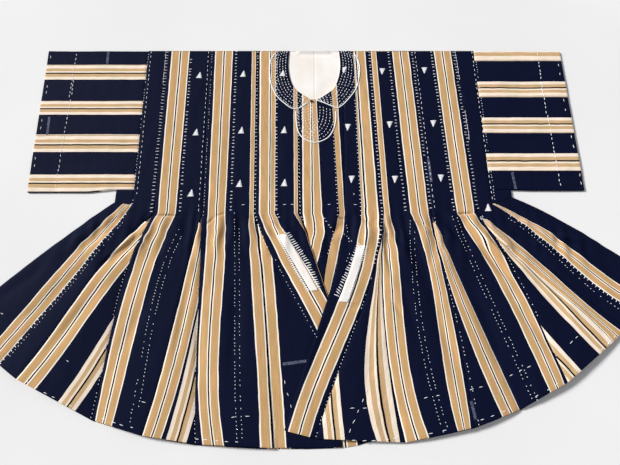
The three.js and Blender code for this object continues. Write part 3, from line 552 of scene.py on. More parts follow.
def walk(line, shares):
    """Points and directions at shares of a line's length."""
    lengths = [0]
    for start, end in zip(line, line[1:]):
        lengths.append(lengths[-1] + (end - start).length)
    found = []
    span = 0
    for share in shares:
        wanted = share * lengths[-1]
        while span < len(line) - 2 and lengths[span + 1] < wanted:
            span += 1
        start, end = line[span], line[span + 1]
        spot = start.lerp(end, (wanted - lengths[span]) / (end - start).length)
        found.append((spot, (end - start).normalized()))
    return found


def line_length(line):
    return sum((end - start).length for start, end in zip(line, line[1:]))


# ---- Cloth ----------------------------------------------------------------------------------------
def new_piece(name, bm):
    mesh = bpy.data.meshes.new(name)
    bm.to_mesh(mesh)
    bm.free()
    piece = bpy.data.objects.new(name, mesh)
    bpy.context.scene.collection.objects.link(piece)
    return piece


def woven_sheet(name, columns, rows, place):
    """A grid of cloth. place(column, row) gives the point, its place and band on the weave's scale,
    and its distances across and along the threads, all in mm. Edges that meet are joined."""
    bm = bmesh.new()
    bmesh.ops.create_grid(bm, x_segments=columns, y_segments=rows, size=1)
    weave = bm.loops.layers.uv.new("weave")
    threads = bm.loops.layers.uv.new("threads")
    placed = {}
    for vert in bm.verts:
        column = round((vert.co.x + 1) / 2 * columns)
        row = round((1 - vert.co.y) / 2 * rows)
        placed[vert] = place(column, row)
    for vert, (point, *_) in placed.items():
        vert.co = in_frame(*point)
    for face in bm.faces:
        for loop in face.loops:
            _, where, band, across, along = placed[loop.vert]
            loop[weave].uv = (where / REPEAT, band)
            loop[threads].uv = (across * MM, along * MM)
        face.smooth = True
    bmesh.ops.remove_doubles(bm, verts=bm.verts, dist=JOIN_DISTANCE)
    return new_piece(name, bm)


def columns_over(places, spacing):
    """Column stops shared by every row of a piece: (span between two band places, share of it)."""
    stops = []
    for span, (start, end) in enumerate(zip(places, places[1:])):
        steps = max(1, round((end[0] - start[0]) / spacing))
        stops += [(span, step / steps) for step in range(steps)]
    stops.append((len(places) - 2, 1))
    return stops


def at_stop(places, stop):
    """Distance from the left edge, place on the weave, and band, at one column stop of a row."""
    span, share = stop
    return [lerp(start, end, share) for start, end in zip(places[span], places[span + 1])]


def row_stops(piece):
    """Rows of a piece's grid, closer together round the waist."""
    bodice = [-1 + step / 56 for step in range(51)] + [-0.085 + step * 0.004 for step in range(21)]
    skirt = [step * 0.0032 for step in range(32)] + [0.103 + step * 0.006 for step in range(17)]
    skirt += [0.206 + step * 0.0132 for step in range(60)] + [1]
    if "gore" in piece:
        return [row for row in skirt if row > GORE_TIP - 0.001]
    return skirt if "side" in piece else bodice + skirt


def seam_fall(distance, reach, depth):
    """How far cloth turns down towards a seam."""
    return depth * math.exp(-(distance / reach) ** 2)


def front_height(left_edge, right_edge, swell, row, part):
    """Height of a front piece's top face above the table, before its relief."""
    if row < 0:
        return FRONT_TOP
    lift = lerp(soft_through(left_edge["lift"], row), soft_through(right_edge["lift"], row), part)
    return lift + swell * math.sin(math.pi * part) * row + CLOTH


def neck_area(left_edge, right_edge):
    """How much of a front length the neck opening takes away."""
    outline = smooth_line(NECK_OUTLINE, 8)
    turn = outline.index(Vector(NECK_POINT))
    area = 0
    for y in range(NECK_POINT[1], SHOULDER_Y):
        reach = []
        for side in (outline[:turn + 1][::-1], outline[turn:]):
            low, high = next(pair for pair in zip(side, side[1:]) if pair[0].y <= y <= pair[1].y)
            reach.append(low.lerp(high, (y - low.y) / (high.y - low.y)).x)
        seams = seam_x(left_edge, y), seam_x(right_edge, y)
        area += max(min(reach[1], seams[1]) - max(reach[0], seams[0]), 0)
    return area


def cut_out(piece, ends):
    """Works out the cloth's area and the length of its middle from the two seams it lies between, but keeps
    neither; the piece comes back unchanged.
    """
    middles = [left.lerp(right, 0.5) for left, right in ends]
    for (left, right), start, end in zip(ends, middles, middles[1:]):
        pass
    outline = [left for left, _ in ends] + [right for _, right in reversed(ends)]
    area = abs(sum(start.cross(end) for start, end in zip(outline, outline[1:] + outline[:1]))) / 2
    length = line_length(middles)
    return piece


def front_piece(piece, left_name, right_name, swell):
    left_edge, right_edge = FRONT_EDGES[left_name], FRONT_EDGES[right_name]
    rows = row_stops(piece)
    ends = [(edge_point(left_edge, row, 0), edge_point(right_edge, row, 0)) for row in rows]
    widths = [(right - left).length for left, right in ends]
    across = [weave_across(piece, row, width) for row, width in zip(rows, widths)]
    stops = columns_over(across[widths.index(max(widths))], 3)

    def place(column, index):
        row, (left, right), width = rows[index], ends[index], widths[index]
        distance, where, band = at_stop(across[index], stops[column])
        part = distance / width
        inset = SEAM_GAP / 2 / width
        plan = left.lerp(right, lerp(inset, 1 - inset, part))
        # At the smock's outer seams the front comes down to the back.
        outer = part if left_name == "side_left" else 1 - part if right_name == "side_right" else 1
        z = front_height(left_edge, right_edge, swell, row, part) + relief(plan.x, plan.y) * min(3 * outer, 1)
        z -= seam_fall(min(distance, width - distance), 3, 0.8)
        y = min(plan.y, SHOULDER_Y - CLOTH - SEAM_GAP)
        # Near the table the troughs flatten out.
        z = FRONT_FLOOR + TROUGH_SOFTNESS * math.log1p(math.exp((z - FRONT_FLOOR) / TROUGH_SOFTNESS))
        return (plan.x + sway(plan.x, y), y, z), where, band, distance, plan.y

    lost = neck_area(left_edge, right_edge) if piece in NECK_PIECES else 0
    return cut_out(woven_sheet(piece + "_cloth", len(stops) - 1, len(rows) - 1, place), ends)


def back_piece(piece, left_name, right_name):
    """The back lies on the table, and its strips turn up at the shoulder to meet the front."""
    left_edge, right_edge = BACK_EDGES[left_name], BACK_EDGES[right_name]
    rows = row_stops(piece)[::3]
    rows += [1] if rows[-1] < 1 else []
    fold = []
    if rows[0] == -1:
        fold = [(FOLD_RADIUS - SHELL, angle) for angle in (0, 22, 45, 68)]
        rows = [-1] * len(fold) + rows[1:]
    ends = []
    for row in rows:
        ends.append((edge_point(left_edge, row, BACK_HEM_DROP), edge_point(right_edge, row, BACK_HEM_DROP)))
    widths = [(right - left).length for left, right in ends]
    across = [weave_across(piece, row, width) for row, width in zip(rows, widths)]
    stops = columns_over(across[widths.index(max(widths))], 8)

    def place(column, index):
        (left, right), width = ends[index], widths[index]
        distance, where, band = at_stop(across[index], stops[column])
        part = distance / width
        inset = SEAM_GAP / 2 / width
        plan = left.lerp(right, lerp(inset, 1 - inset, part))
        tucked = BACK_TUCK["by"] * math.exp(-((plan.x - BACK_TUCK["x"]) / BACK_TUCK["reach"]) ** 2)
        y = plan.y + tucked * max(rows[index], 0)
        z = SHELL + seam_fall(min(distance, width - distance), 4, 0.3)
        if index < len(fold):
            radius, angle = fold[index][0], math.radians(fold[index][1])
            y = SHOULDER_Y - FOLD_RADIUS + radius * math.cos(angle)
            z = FOLD_RADIUS - radius * math.sin(angle)
            z = FRONT_TOP - 0.3 if index == 0 else z
        return (plan.x, y, z), where, band, distance, y

    return cut_out(woven_sheet(piece + "_cloth", len(stops) - 1, len(rows) - 1, place), ends[len(fold):])


def seam_x(edge, y):
    """x of a bodice seam at a height y."""
    return lerp(edge["waist"][0], edge["top"], (y - edge["waist"][1]) / (SHOULDER_Y - edge["waist"][1]))


def sleeve(name, cuff, seam, outward, sag, bands):
    """A flat tube: its loop runs from the underarm round the back, the shoulder and the top."""
    half = FRONT_TOP / 2
    low, high = UNDERARM_Y + half, SHOULDER_Y - half
    band_stops = []
    for *_, low_y, high_y in bands:
        band_stops += [low_y, low_y + 0.2, (low_y + high_y) / 2, high_y - 0.2, high_y]
    stops = sorted(y for y in band_stops + list(range(UNDERARM_Y + 6, SHOULDER_Y, 8)) if low < y < high)
    turns = [math.radians(angle) for angle in range(-90, 91, 30)]
    loop = [(y, 0) for y in stops]
    loop += [(high + half * math.cos(turn), half + half * math.sin(turn)) for turn in turns]
    loop += [(y, FRONT_TOP) for y in reversed(stops)]
    loop += [(low - half * math.cos(turn), half - half * math.sin(turn)) for turn in turns]
    loop.append(loop[0])
    columns = 44

    def place_on_weave(y):
        for low_place, high_place, low_y, high_y in bands:
            if low_y <= y <= high_y:
                return lerp(low_place, high_place, (y - low_y) / (high_y - low_y))
        return PLAIN_PLACE

    def place(column, index):
        y, z = loop[index]
        share = column / columns if outward > 0 else 1 - column / columns
        cuff_x = lerp(cuff[1], cuff[0], (y - UNDERARM_Y) / (SHOULDER_Y - UNDERARM_Y))
        x = lerp(seam_x(FRONT_EDGES[seam], y) + outward * SEAM_GAP, cuff_x, share)
        fall = sag * min(max((share - 0.22) / 0.2, 0), 1) * max(1 - (y - UNDERARM_Y) / 12, 0)
        rise = relief(x, y) - seam_fall(share * 200, 4, 0.6) if z > half else 0
        return (x, y - fall, max(z + rise, 0)), place_on_weave(y - fall * 0.4), CREAM, y, x

    piece = woven_sheet(name + "_cloth", columns, len(loop) - 1, place)
    length = abs(cuff[0] + cuff[1] - FRONT_EDGES[seam]["top"] - seam_x(FRONT_EDGES[seam], UNDERARM_Y)) / 2
    return piece


def gusset(name, seam, edge, outward):
    """A small square folded round its outer edge, so that it shows on top and underneath."""
    half = FRONT_TOP / 2
    seam_edge, side_edge = FRONT_EDGES[seam], FRONT_EDGES[edge]
    rows, flat, turn = 8, 6, 6
    columns = 2 * flat + turn

    def place(column, index):
        column = column if outward > 0 else columns - column
        down = index / rows
        body_y = lerp(UNDERARM_Y - SEAM_GAP, seam_edge["waist"][1] + SEAM_GAP, down)
        fold_y = lerp(UNDERARM_Y - SEAM_GAP, side_edge["waist"][1] + SEAM_GAP, down)
        body_x = seam_x(seam_edge, body_y) + outward * SEAM_GAP
        fold_x = side_edge["waist"][0] - outward * half
        angle = math.pi * min(max((column - flat) / turn, 0), 1)
        share = min(column, columns - column, flat) / flat
        x = lerp(body_x, fold_x, share) + outward * half * math.sin(angle)
        y = lerp(body_y, fold_y, share)
        return (x, y, half + half * math.cos(angle)), PLAIN_PLACE, TAN, x, y

    piece = woven_sheet(name + "_cloth", columns, rows, place)
    width = abs(side_edge["waist"][0] - seam_x(seam_edge, UNDERARM_Y))
    length = UNDERARM_Y - lerp(seam_edge["waist"][1], side_edge["waist"][1], 0.5)
    return piece


def lining_half(name, left, right):
    """The lining rolls over the back neck's edge, and sinks a little at its middle seam."""
    rows, columns = 40, 27

    def place(column, index):
        x, y = lerp(left, right, column / columns), lerp(LINING["top"], LINING["bottom"], index / rows)
        z = LINING["lift"] + CLOTH + 0.5 * noise.noise(Vector((x / 26, y / 40, 5)))
        z -= seam_fall(abs(x - LINING["seam"]), 2, 0.05)
        rolled = LINING["roll"] * min(max((NECK_ROLL - abs(x - LINING["seam"])) / 8, 0), 1)
        below = y - LINING["top"]
        z += rolled * math.exp(-(below / 3) ** 2) - rolled * 0.35 * math.exp(-((below + 9) / 4) ** 2)
        return (x, y, z), PLAIN_PLACE, TAN, x, y

    piece = woven_sheet(name + "_cloth", columns, rows, place)
    return piece


def facing(name, on, rows, upper, lower):
    """A white band laid on a flap, along the pocket mouth."""
    left_name, right_name, swell = next(piece[1:] for piece in FRONT_PIECES if piece[0] == on)
    left_edge, right_edge = FRONT_EDGES[left_name], FRONT_EDGES[right_name]
    steps, columns = 48, 8

    def place(column, index):
        down = index / steps
        row = lerp(*rows, down)
        part = lerp(lerp(upper[0], lower[0], down), lerp(upper[1], lower[1], down), column / columns)
        plan = edge_point(left_edge, row, 0).lerp(edge_point(right_edge, row, 0), part)
        z = front_height(left_edge, right_edge, swell, row, part) + relief(plan.x, plan.y) + FACING_RISE
        z -= seam_fall(min(column, columns - column), 0.8, 0.35)
        return (plan.x, plan.y, z), PLAIN_PLACE, TAN, plan.x, plan.y

    piece = woven_sheet(name + "_cloth", columns, steps, place)
    corner_spots = (0, 0), (columns, 0), (0, steps), (columns, steps)
    corners = [Vector(place(column, index)[0]) for column, index in corner_spots]
    middles = corners[0].lerp(corners[1], 0.5), corners[2].lerp(corners[3], 0.5)
    return piece


def cut_away(piece, cutter):
    """Cuts a hole through a finished shell and keeps the result as its mesh."""
    cut = piece.modifiers.new("cut", "BOOLEAN")
    cut.operation = "DIFFERENCE"
    cut.solver = "EXACT"
    cut.object = cutter
    shape = bpy.data.meshes.new_from_object(piece.evaluated_get(bpy.context.evaluated_depsgraph_get()))
    piece.modifiers.clear()
    piece.data = shape


def neck_cutter():
    """A prism of the neck opening's outline."""
    bm = bmesh.new()
    outline = [bm.verts.new(in_frame(point.x, point.y, -CUT_DEPTH)) for point in smooth_line(NECK_OUTLINE, 8)]
    face = bm.faces.new(outline)
    grown = bmesh.ops.extrude_face_region(bm, geom=[face])
    lifted = [part for part in grown["geom"] if isinstance(part, bmesh.types.BMVert)]
    bmesh.ops.translate(bm, verts=lifted, vec=(0, 0, 2 * CUT_DEPTH * MM))
    bmesh.ops.recalc_face_normals(bm, faces=bm.faces)
    return new_piece("neck_cutter", bm)


def back_neck_cutter():
    """A block over the turned-up fold of the back, between the two shoulders."""
    bm = bmesh.new()
    bmesh.ops.create_cube(bm, size=1)
    low, high = NECK_SIDES
    bmesh.ops.scale(bm, verts=bm.verts, vec=((high - low) * MM, CUT_DEPTH * MM, CUT_DEPTH * MM))
    middle = in_frame((low + high) / 2, SHOULDER_Y, BACK_NECK_TOP + CUT_DEPTH / 2)
    bmesh.ops.translate(bm, verts=bm.verts, vec=middle)
    return new_piece("back_neck_cutter", bm)


# ---- Cord, button and stitches ----------------------------------------------------------------------
def cloth_surface(pieces):
    """What stitches are laid on: the top faces of the cloth, before it gets its thickness."""
    bm = bmesh.new()
    for piece in pieces:
        bm.from_mesh(piece.data)
    surface = BVHTree.FromBMesh(bm)
    bm.free()
    return surface


def drop(surface, x, y):
    """The point of the cloth under (x, y), and which way it faces. Over a seam's gap, the nearest."""
    spot, normal, *_ = surface.ray_cast(in_frame(x, y, DROP_FROM), Vector((0, 0, -1)))
    if spot is None:
        spot, normal, *_ = surface.find_nearest(in_frame(x, y, FRONT_TOP))
    return spot, normal if normal.z > 0 else -normal


def couched_cord(name, route, surface):
    """A cord of two strands twisted together, laid along a route on the cloth."""
    line = smooth_line(route, 1)
    line = smooth_line(route, max(2, round(line_length(line) / (len(route) - 1) / CORD_STEP)))
    length = line_length(line)
    bm = bmesh.new()
    rows = len(line) - 1
    bmesh.ops.create_grid(bm, x_segments=CORD_SIDES, y_segments=rows, size=1)
    centres = walk(line, [row / rows for row in range(rows + 1)])
    for vert in bm.verts:
        side = round((vert.co.x + 1) / 2 * CORD_SIDES)
        row = round((1 - vert.co.y) / 2 * rows)
        plan, along = centres[row]
        spot, _ = drop(surface, plan.x, plan.y)
        angle = 2 * math.pi * side / CORD_SIDES
        turn = 2 * math.pi * row / rows * length / CORD_TWIST
        end = 0.3 if row in (0, rows) else 1
        radius = CORD_RADIUS * end * (0.82 + 0.18 * math.cos(2 * (angle - turn)))
        across = Vector((-along.y, along.x, 0))
        centre = Vector((plan.x, plan.y, 0)) * MM + ORIGIN
        centre.z = spot.z + CORD_RADIUS * CORD_FLAT * 0.85 * MM
        outward = across * math.cos(angle) + Vector((0, 0, CORD_FLAT)) * math.sin(angle)
        vert.co = centre + outward * radius * MM
    bmesh.ops.remove_doubles(bm, verts=bm.verts, dist=JOIN_DISTANCE)
    bmesh.ops.holes_fill(bm, edges=[edge for edge in bm.edges if edge.is_boundary])
    bmesh.ops.recalc_face_normals(bm, faces=bm.faces)
    for face in bm.faces:
        face.smooth = True
    return new_piece(name + "_twist", bm)


def button(surface):
    """A small domed button with a sunk middle."""
    bm = bmesh.new()
    radius, height = BUTTON["radius"], BUTTON["height"]
    verts = [bm.verts.new(Vector((out * radius, 0, up * height)) * MM) for out, up in BUTTON_PROFILE]
    edges = [bm.edges.new(pair) for pair in zip(verts, verts[1:])]
    bmesh.ops.spin(bm, geom=verts + edges, axis=(0, 0, 1), cent=(0, 0, 0), angle=2 * math.pi, steps=24,
                   use_merge=True)
    bmesh.ops.remove_doubles(bm, verts=bm.verts, dist=JOIN_DISTANCE)
    bmesh.ops.recalc_face_normals(bm, faces=bm.faces)
    for face in bm.faces:
        face.smooth = True
    spot, _ = drop(surface, *BUTTON["at"])
    bmesh.ops.translate(bm, verts=bm.verts, vec=(*(in_frame(*BUTTON["at"], 0).xy), spot.z))
    return new_piece("button_dome", bm)


def stitched(name, grains, surface, material, slot):
    """Stitches on the cloth, each a stretched grain of thread: (x, y, direction, length, width)."""
    ball = bmesh.new()
    bmesh.ops.create_uvsphere(ball, u_segments=6, v_segments=4, radius=0.5 * MM)
    grain = bpy.data.meshes.new("grain")
    ball.to_mesh(grain)
    ball.free()
    bm = bmesh.new()
    for x, y, direction, length, width in grains:
        spot, normal = drop(surface, x, y)
        along = Vector((direction.x, direction.y, 0))
        along = (along - normal * along.dot(normal)).normalized()
        sides = Matrix((normal.cross(along) * width, normal * width * THREAD_FLAT, along * length)).transposed()
        stitch = grain.copy()
        stitch.transform(Matrix.Translation(spot + normal * width * THREAD_PROUD * MM) @ sides.to_4x4())
        bm.from_mesh(stitch)
        bpy.data.meshes.remove(stitch)
    bpy.data.meshes.remove(grain)
    for face in bm.faces:
        face.smooth = True
    dress(new_piece(name, bm), material, slot)


def turned(direction, degrees):
    angle = math.radians(degrees)
    return Vector((direction.x * math.cos(angle) - direction.y * math.sin(angle),
                   direction.x * math.sin(angle) + direction.y * math.cos(angle)))


def row_of_stitches(line, kind, start_offset=0, end_offset=0):
    """Grains along a line, a little uneven as a hand leaves them."""
    sort = STITCHES[kind]
    count = max(1, round(line_length(line) / sort["pitch"]))
    shares = [(step + 0.5 + HAND.uniform(-0.14, 0.14)) / count for step in range(count)]
    grains = []
    for share, (point, along) in zip(shares, walk(line, shares)):
        if HAND.random() < sort.get("missed", 0):
            continue
        side = Vector((-along.y, along.x))
        point = point + side * (lerp(start_offset, end_offset, share) + HAND.uniform(-0.5, 0.5))
        direction = turned(along, sort["turn"] + HAND.uniform(-9, 9))
        grains.append((point.x, point.y, direction, sort["length"] * HAND.uniform(0.75, 1.15), sort["width"]))
    return grains


def seam_stitches():
    grains = []
    for name, first, last, start_offset, end_offset, kind in SEAM_STITCHES:
        line = [edge_point(FRONT_EDGES[name], lerp(first, last, step / 60), 0) for step in range(61)]
        grains += row_of_stitches(line, kind, start_offset, end_offset)
    return grains


def loose_stitches():
    grains = []
    for x0, y0, x1, y1, kind in LOOSE_STITCHES:
        grains += row_of_stitches([Vector((x0, y0)), Vector((x1, y1))], kind)
    for left, right in HEM_STITCHES:
        line = [Vector((x, hem_y(x) + HEM_STITCH_ABOVE)) for x in range(left, right + 1, 5)]
        grains += row_of_stitches(line, "run")
    return grains


def yoke_stitches():
    """Rows of small running stitches between the neck and the cord, and inside the placket."""
    grains = []
    point = NECK_OUTLINE.index(NECK_POINT)
    lobes = [
        (NECK_OUTLINE[:point + 1], CORD_ROUTES["yoke_cord_left"], YOKE_ROWS),
        (NECK_OUTLINE[point:][::-1], CORD_ROUTES["yoke_cord_right"], YOKE_ROWS),
        (PLACKET_MIDDLE, PLACKET_OUTLINE, PLACKET_ROWS),
    ]
    for inner, outer, rows in lobes:
        inner_line, outer_line = smooth_line(inner, 8), smooth_line(outer, 8)
        shares = [step / 60 for step in range(61)]
        for row in range(1, rows + 1):
            line = [a.lerp(b, row / (rows + 0.6)) for (a, _), (b, _)
                    in zip(walk(inner_line, shares), walk(outer_line, shares))]
            grains += row_of_stitches(line, "fine")
    return grains


def triangles():
    """Triangles filled with satin stitch, thread beside thread."""
    grains = []
    for x, y, up in TRIANGLES:
        count = round(TRIANGLE["height"] / TRIANGLE["pitch"])
        for step in range(count):
            share = (step + 0.5) / count
            sign = 1 if up else -1
            row_y = y + sign * (share - 0.5) * TRIANGLE["height"]
            row_x = x + sign * TRIANGLE["lean"] * TRIANGLE["base"] * share
            length = TRIANGLE["base"] * (1 - share) + TRIANGLE["width"]
            grains.append((row_x, row_y, Vector((1, HAND.uniform(-0.05, 0.05))), length, TRIANGLE["width"]))
    return grains


def chalk_mark(number, x0, y0, x1, y1, surface):
    """A rubbed tailor's chalk line, a film on the cloth."""
    start, end = Vector((x0, y0)), Vector((x1, y1))
    side = Vector((-(end - start).y, (end - start).x)).normalized()
    rows, columns = 14, 2

    def place(column, index):
        plan = start.lerp(end, index / rows) + side * (column / columns - 0.5) * CHALK_WIDTH
        spot, _ = drop(surface, plan.x, plan.y)
        return (plan.x, plan.y, spot.z / MM + CHALK_RISE), PLAIN_PLACE, TAN, plan.x, plan.y

    return woven_sheet(f"chalk_mark_{number}", columns, rows, place)


def dress(piece, material, slot, *nodes):
    """Gives a piece its finish and puts it in place of the model's nodes."""
    piece.data.materials.append(material)
    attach(piece, "root")
    if nodes:
        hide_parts(*nodes)


def thicken(piece, thickness=SHELL):
    wall = piece.modifiers.new("wall", "SOLIDIFY")
    wall.thickness = thickness * MM
    wall.offset = -1
    # The broad faces decide the shading, so that a cut edge throws no false light or shade.
    shading = piece.modifiers.new("edge_shading", "WEIGHTED_NORMAL")
    shading.weight = 100


# ---- Finishes -------------------------------------------------------------------------------------
def linear(hex_colour):
    """An sRGB hex colour as linear RGBA."""
    channels = [int(hex_colour[i:i + 2], 16) / 255 for i in (1, 3, 5)]
    return [c / 12.92 if c <= 0.04045 else ((c + 0.055) / 1.055) ** 2.4 for c in channels] + [1]


def add_node(tree, kind, settings=None, inputs=None):
    """Adds a node, sets its properties, and sets or links its inputs."""
    node = tree.nodes.new(kind)
    for name, value in (settings or {}).items():
        setattr(node, name, value)
    for name, value in (inputs or {}).items():
        if isinstance(value, bpy.types.NodeSocket):
            tree.links.new(value, node.inputs[name])
        else:
            node.inputs[name].default_value = value
    return node


def fill_ramp(node, stops):
    """Hard-edged bands on a colour ramp: (start in mm on the weave's scale, colour)."""
    ramp = node.color_ramp
    ramp.interpolation = "CONSTANT"
    for start, colour in stops[len(ramp.elements):]:
        ramp.elements.new(start / REPEAT)
    for element, (start, colour) in zip(ramp.elements, stops):
        element.position = start / REPEAT
        element.color = linear(colour)


INDIGO, STRIPE_TAN, STRIPE_PALE = "#09102b", "#caa373", "#cfae84"
STRIPE_WHITE, STRIPE_CREAM, STRIPE_BLACK = "#fff9f0", "#f8e9d8", "#0a090b"
TAN_BAND = [
    (0, STRIPE_WHITE), (2.4, STRIPE_TAN), (18.2, STRIPE_WHITE), (20.5, STRIPE_BLACK), (23.5, STRIPE_WHITE),
    (25.8, STRIPE_TAN), (41.6, STRIPE_WHITE), (44, INDIGO),
]
CREAM_BAND = [
    (0, STRIPE_CREAM), (7.2, STRIPE_PALE), (15.2, STRIPE_CREAM), (18.8, STRIPE_BLACK), (22.6, STRIPE_PALE),
    (30.4, STRIPE_CREAM), (38, INDIGO),
]


def striped_cotton():
    """Hand-loomed cotton, indigo with tan and cream stripes: matt, slightly slubby, coarse weave."""
    material = bpy.data.materials.new("hand-loomed striped cotton")
    material.use_nodes = True
    tree = material.node_tree
    tree.nodes.clear()
    weave = add_node(tree, "ShaderNodeUVMap", {"uv_map": "weave"})
    threads = add_node(tree, "ShaderNodeUVMap", {"uv_map": "threads"})
    # Stripes wander by up to 0.8 mm, as threads do that are beaten in by hand.
    drift = add_node(tree, "ShaderNodeTexNoise", inputs={0: threads.outputs[0], "Scale": 38, "Detail": 1})
    wander = add_node(tree, "ShaderNodeMath", {"operation": "MULTIPLY_ADD"},
                      {0: drift.outputs[0], 1: 0.016, 2: -0.008})
    parts = add_node(tree, "ShaderNodeSeparateXYZ", inputs={0: weave.outputs[0]})
    moved = add_node(tree, "ShaderNodeMath", {"operation": "ADD"}, {0: parts.outputs[0], 1: wander.outputs[0]})
    place = add_node(tree, "ShaderNodeMath", {"operation": "FRACT"}, {0: moved.outputs[0]})
    tan = add_node(tree, "ShaderNodeValToRGB", inputs={0: place.outputs[0]})
    fill_ramp(tan, TAN_BAND)
    cream = add_node(tree, "ShaderNodeValToRGB", inputs={0: place.outputs[0]})
    fill_ramp(cream, CREAM_BAND)
    which = add_node(tree, "ShaderNodeMath", {"operation": "GREATER_THAN"}, {0: parts.outputs[1], 1: 0.5})
    stripes = add_node(tree, "ShaderNodeMix", {"data_type": "RGBA"},
                       {0: which.outputs[0], 6: tan.outputs[0], 7: cream.outputs[0]})
    # Slubs: streaks along the warp, 1.6 mm wide and 40 mm long.
    stretch = add_node(tree, "ShaderNodeMapping", inputs={0: threads.outputs[0], 3: (620, 25, 1)})
    slub = add_node(tree, "ShaderNodeTexNoise", inputs={0: stretch.outputs[0], "Scale": 1, "Detail": 2})
    shade = add_node(tree, "ShaderNodeMapRange", inputs={0: slub.outputs[0], 1: 0.3, 2: 0.7, 3: 0.86, 4: 1.12})
    streaked = add_node(tree, "ShaderNodeVectorMath", {"operation": "SCALE"},
                        {0: stripes.outputs[2], "Scale": shade.outputs[0]})
    # The dye took unevenly: patches a few centimetres wide lean to pink, others to olive.
    cloud = add_node(tree, "ShaderNodeTexNoise", inputs={0: threads.outputs[0], "Scale": 22, "Detail": 3})
    lean = add_node(tree, "ShaderNodeMapRange", inputs={0: cloud.outputs[0], 1: 0.36, 2: 0.64})
    tint = add_node(tree, "ShaderNodeMix", {"data_type": "RGBA"},
                    {0: lean.outputs[0], 6: (0.95, 0.97, 0.93, 1), 7: (1.04, 1, 1.01, 1)})
    colour = add_node(tree, "ShaderNodeMix", {"data_type": "RGBA", "blend_type": "MULTIPLY"},
                      {0: 1, 6: streaked.outputs[0], 7: tint.outputs[2]})
    shader = add_node(tree, "ShaderNodeBsdfPrincipled", inputs={
        "Base Color": colour.outputs[2], "Roughness": 0.72, "Specular IOR Level": 0.06,
        "Normal": woven_bump(tree, threads.outputs[0], 0.5),
    })
    add_node(tree, "ShaderNodeOutputMaterial", inputs={0: shader.outputs[0]})
    return material


WEAVE_DEPTH = 0.0004        # metres from the low threads to the high ones


def woven_bump(tree, threads, strength):
    """Threads are 0.9 mm apart; they are drawn 2.2 mm apart, so that the weave shows."""
    warp = add_node(tree, "ShaderNodeTexWave", {"bands_direction": "X"}, {0: threads, "Scale": 143})
    weft = add_node(tree, "ShaderNodeTexWave", {"bands_direction": "Y"}, {0: threads, "Scale": 143})
    knots = add_node(tree, "ShaderNodeMath", {"operation": "MULTIPLY"}, {0: warp.outputs[1], 1: weft.outputs[1]})
    bump = add_node(tree, "ShaderNodeBump", inputs={
        "Strength": strength, "Distance": WEAVE_DEPTH, "Height": knots.outputs[0],
    })
    return bump.outputs[0]


def grain_bump(tree, place, strength, size):
    """A fine random grain, its lumps size mm wide."""
    grain = add_node(tree, "ShaderNodeTexNoise", inputs={0: place, "Scale": 1 / (size * MM), "Detail": 2})
    bump = add_node(tree, "ShaderNodeBump", inputs={
        "Strength": strength, "Distance": WEAVE_DEPTH, "Height": grain.outputs[0],
    })
    return bump.outputs[0]


def mottled(name, shades, patch, roughness, bump, *settings):
    """A finish whose colour drifts between two shades in patches, patch mm wide, with a fine relief."""
    material = bpy.data.materials.new(name)
    material.use_nodes = True
    tree = material.node_tree
    tree.nodes.clear()
    place = add_node(tree, "ShaderNodeTexCoord").outputs["Object"]
    if bump is woven_bump:
        place = add_node(tree, "ShaderNodeUVMap", {"uv_map": "threads"}).outputs[0]
    cloud = add_node(tree, "ShaderNodeTexNoise", inputs={0: place, "Scale": 1 / (patch * MM), "Detail": 3})
    share = add_node(tree, "ShaderNodeMapRange", inputs={0: cloud.outputs[0], 1: 0.36, 2: 0.64})
    colour = add_node(tree, "ShaderNodeMix", {"data_type": "RGBA"},
                      {0: share.outputs[0], 6: linear(shades[0]), 7: linear(shades[1])})
    shader = add_node(tree, "ShaderNodeBsdfPrincipled", inputs={
        "Base Color": colour.outputs[2], "Roughness": roughness, "Normal": bump(tree, place, *settings),
    })
    add_node(tree, "ShaderNodeOutputMaterial", inputs={0: shader.outputs[0]})
    return material


# ---- Camera, floor and light ----------------------------------------------------------------------
PICTURE = (620, 465)
FOCAL_PIXELS = 500
SENSOR = 36
CAMERA_AT = (0, -408, 1005)
CAMERA_TILT = 20
LIGHT_FROM = (-0.9, 0.44, 0.62)     # the way the light comes from
LIGHT_STRENGTH = 4.3
LIGHT_SPREAD = 14                  # degrees over which it is soft
SKY = 0.34
FLOOR_SIDE = 12


def add_camera():
    data = bpy.data.cameras.new("camera")
    data.sensor_width = SENSOR
    data.lens = FOCAL_PIXELS / PICTURE[0] * SENSOR
    camera = bpy.data.objects.new("camera", data)
    camera.location = in_frame(*CAMERA_AT)
    camera.rotation_euler = (math.radians(CAMERA_TILT), 0, 0)
    bpy.context.scene.collection.objects.link(camera)
    bpy.context.scene.camera = camera


def add_studio():
    world = bpy.data.worlds.new("pale studio")
    world.use_nodes = True
    world.node_tree.nodes["Background"].inputs["Color"].default_value = linear("#f8f9fc")
    world.node_tree.nodes["Background"].inputs["Strength"].default_value = SKY
    bpy.context.scene.world = world
    data = bpy.data.lights.new("soft light", "SUN")
    data.angle = math.radians(LIGHT_SPREAD)
    data.energy = LIGHT_STRENGTH
    data.color = (1, 0.99, 0.97)
    lamp = bpy.data.objects.new("soft_light", data)
    lamp.rotation_euler = (-Vector(LIGHT_FROM)).to_track_quat("-Z", "Y").to_euler()
    bpy.context.scene.collection.objects.link(lamp)
    mesh = bpy.data.meshes.new("floor")
    bm = bmesh.new()
    bmesh.ops.create_grid(bm, x_segments=1, y_segments=1, size=FLOOR_SIDE / 2)
    bm.to_mesh(mesh)
    bm.free()
    floor = bpy.data.objects.new("floor", mesh)
    floor.data.materials.append(WHITE_PAPER)
    bpy.context.scene.collection.objects.link(floor)
    bpy.context.scene.view_settings.view_transform = "Standard"


# ---- The smock ------------------------------------------------------------------------------------
STRIPED = striped_cotton()
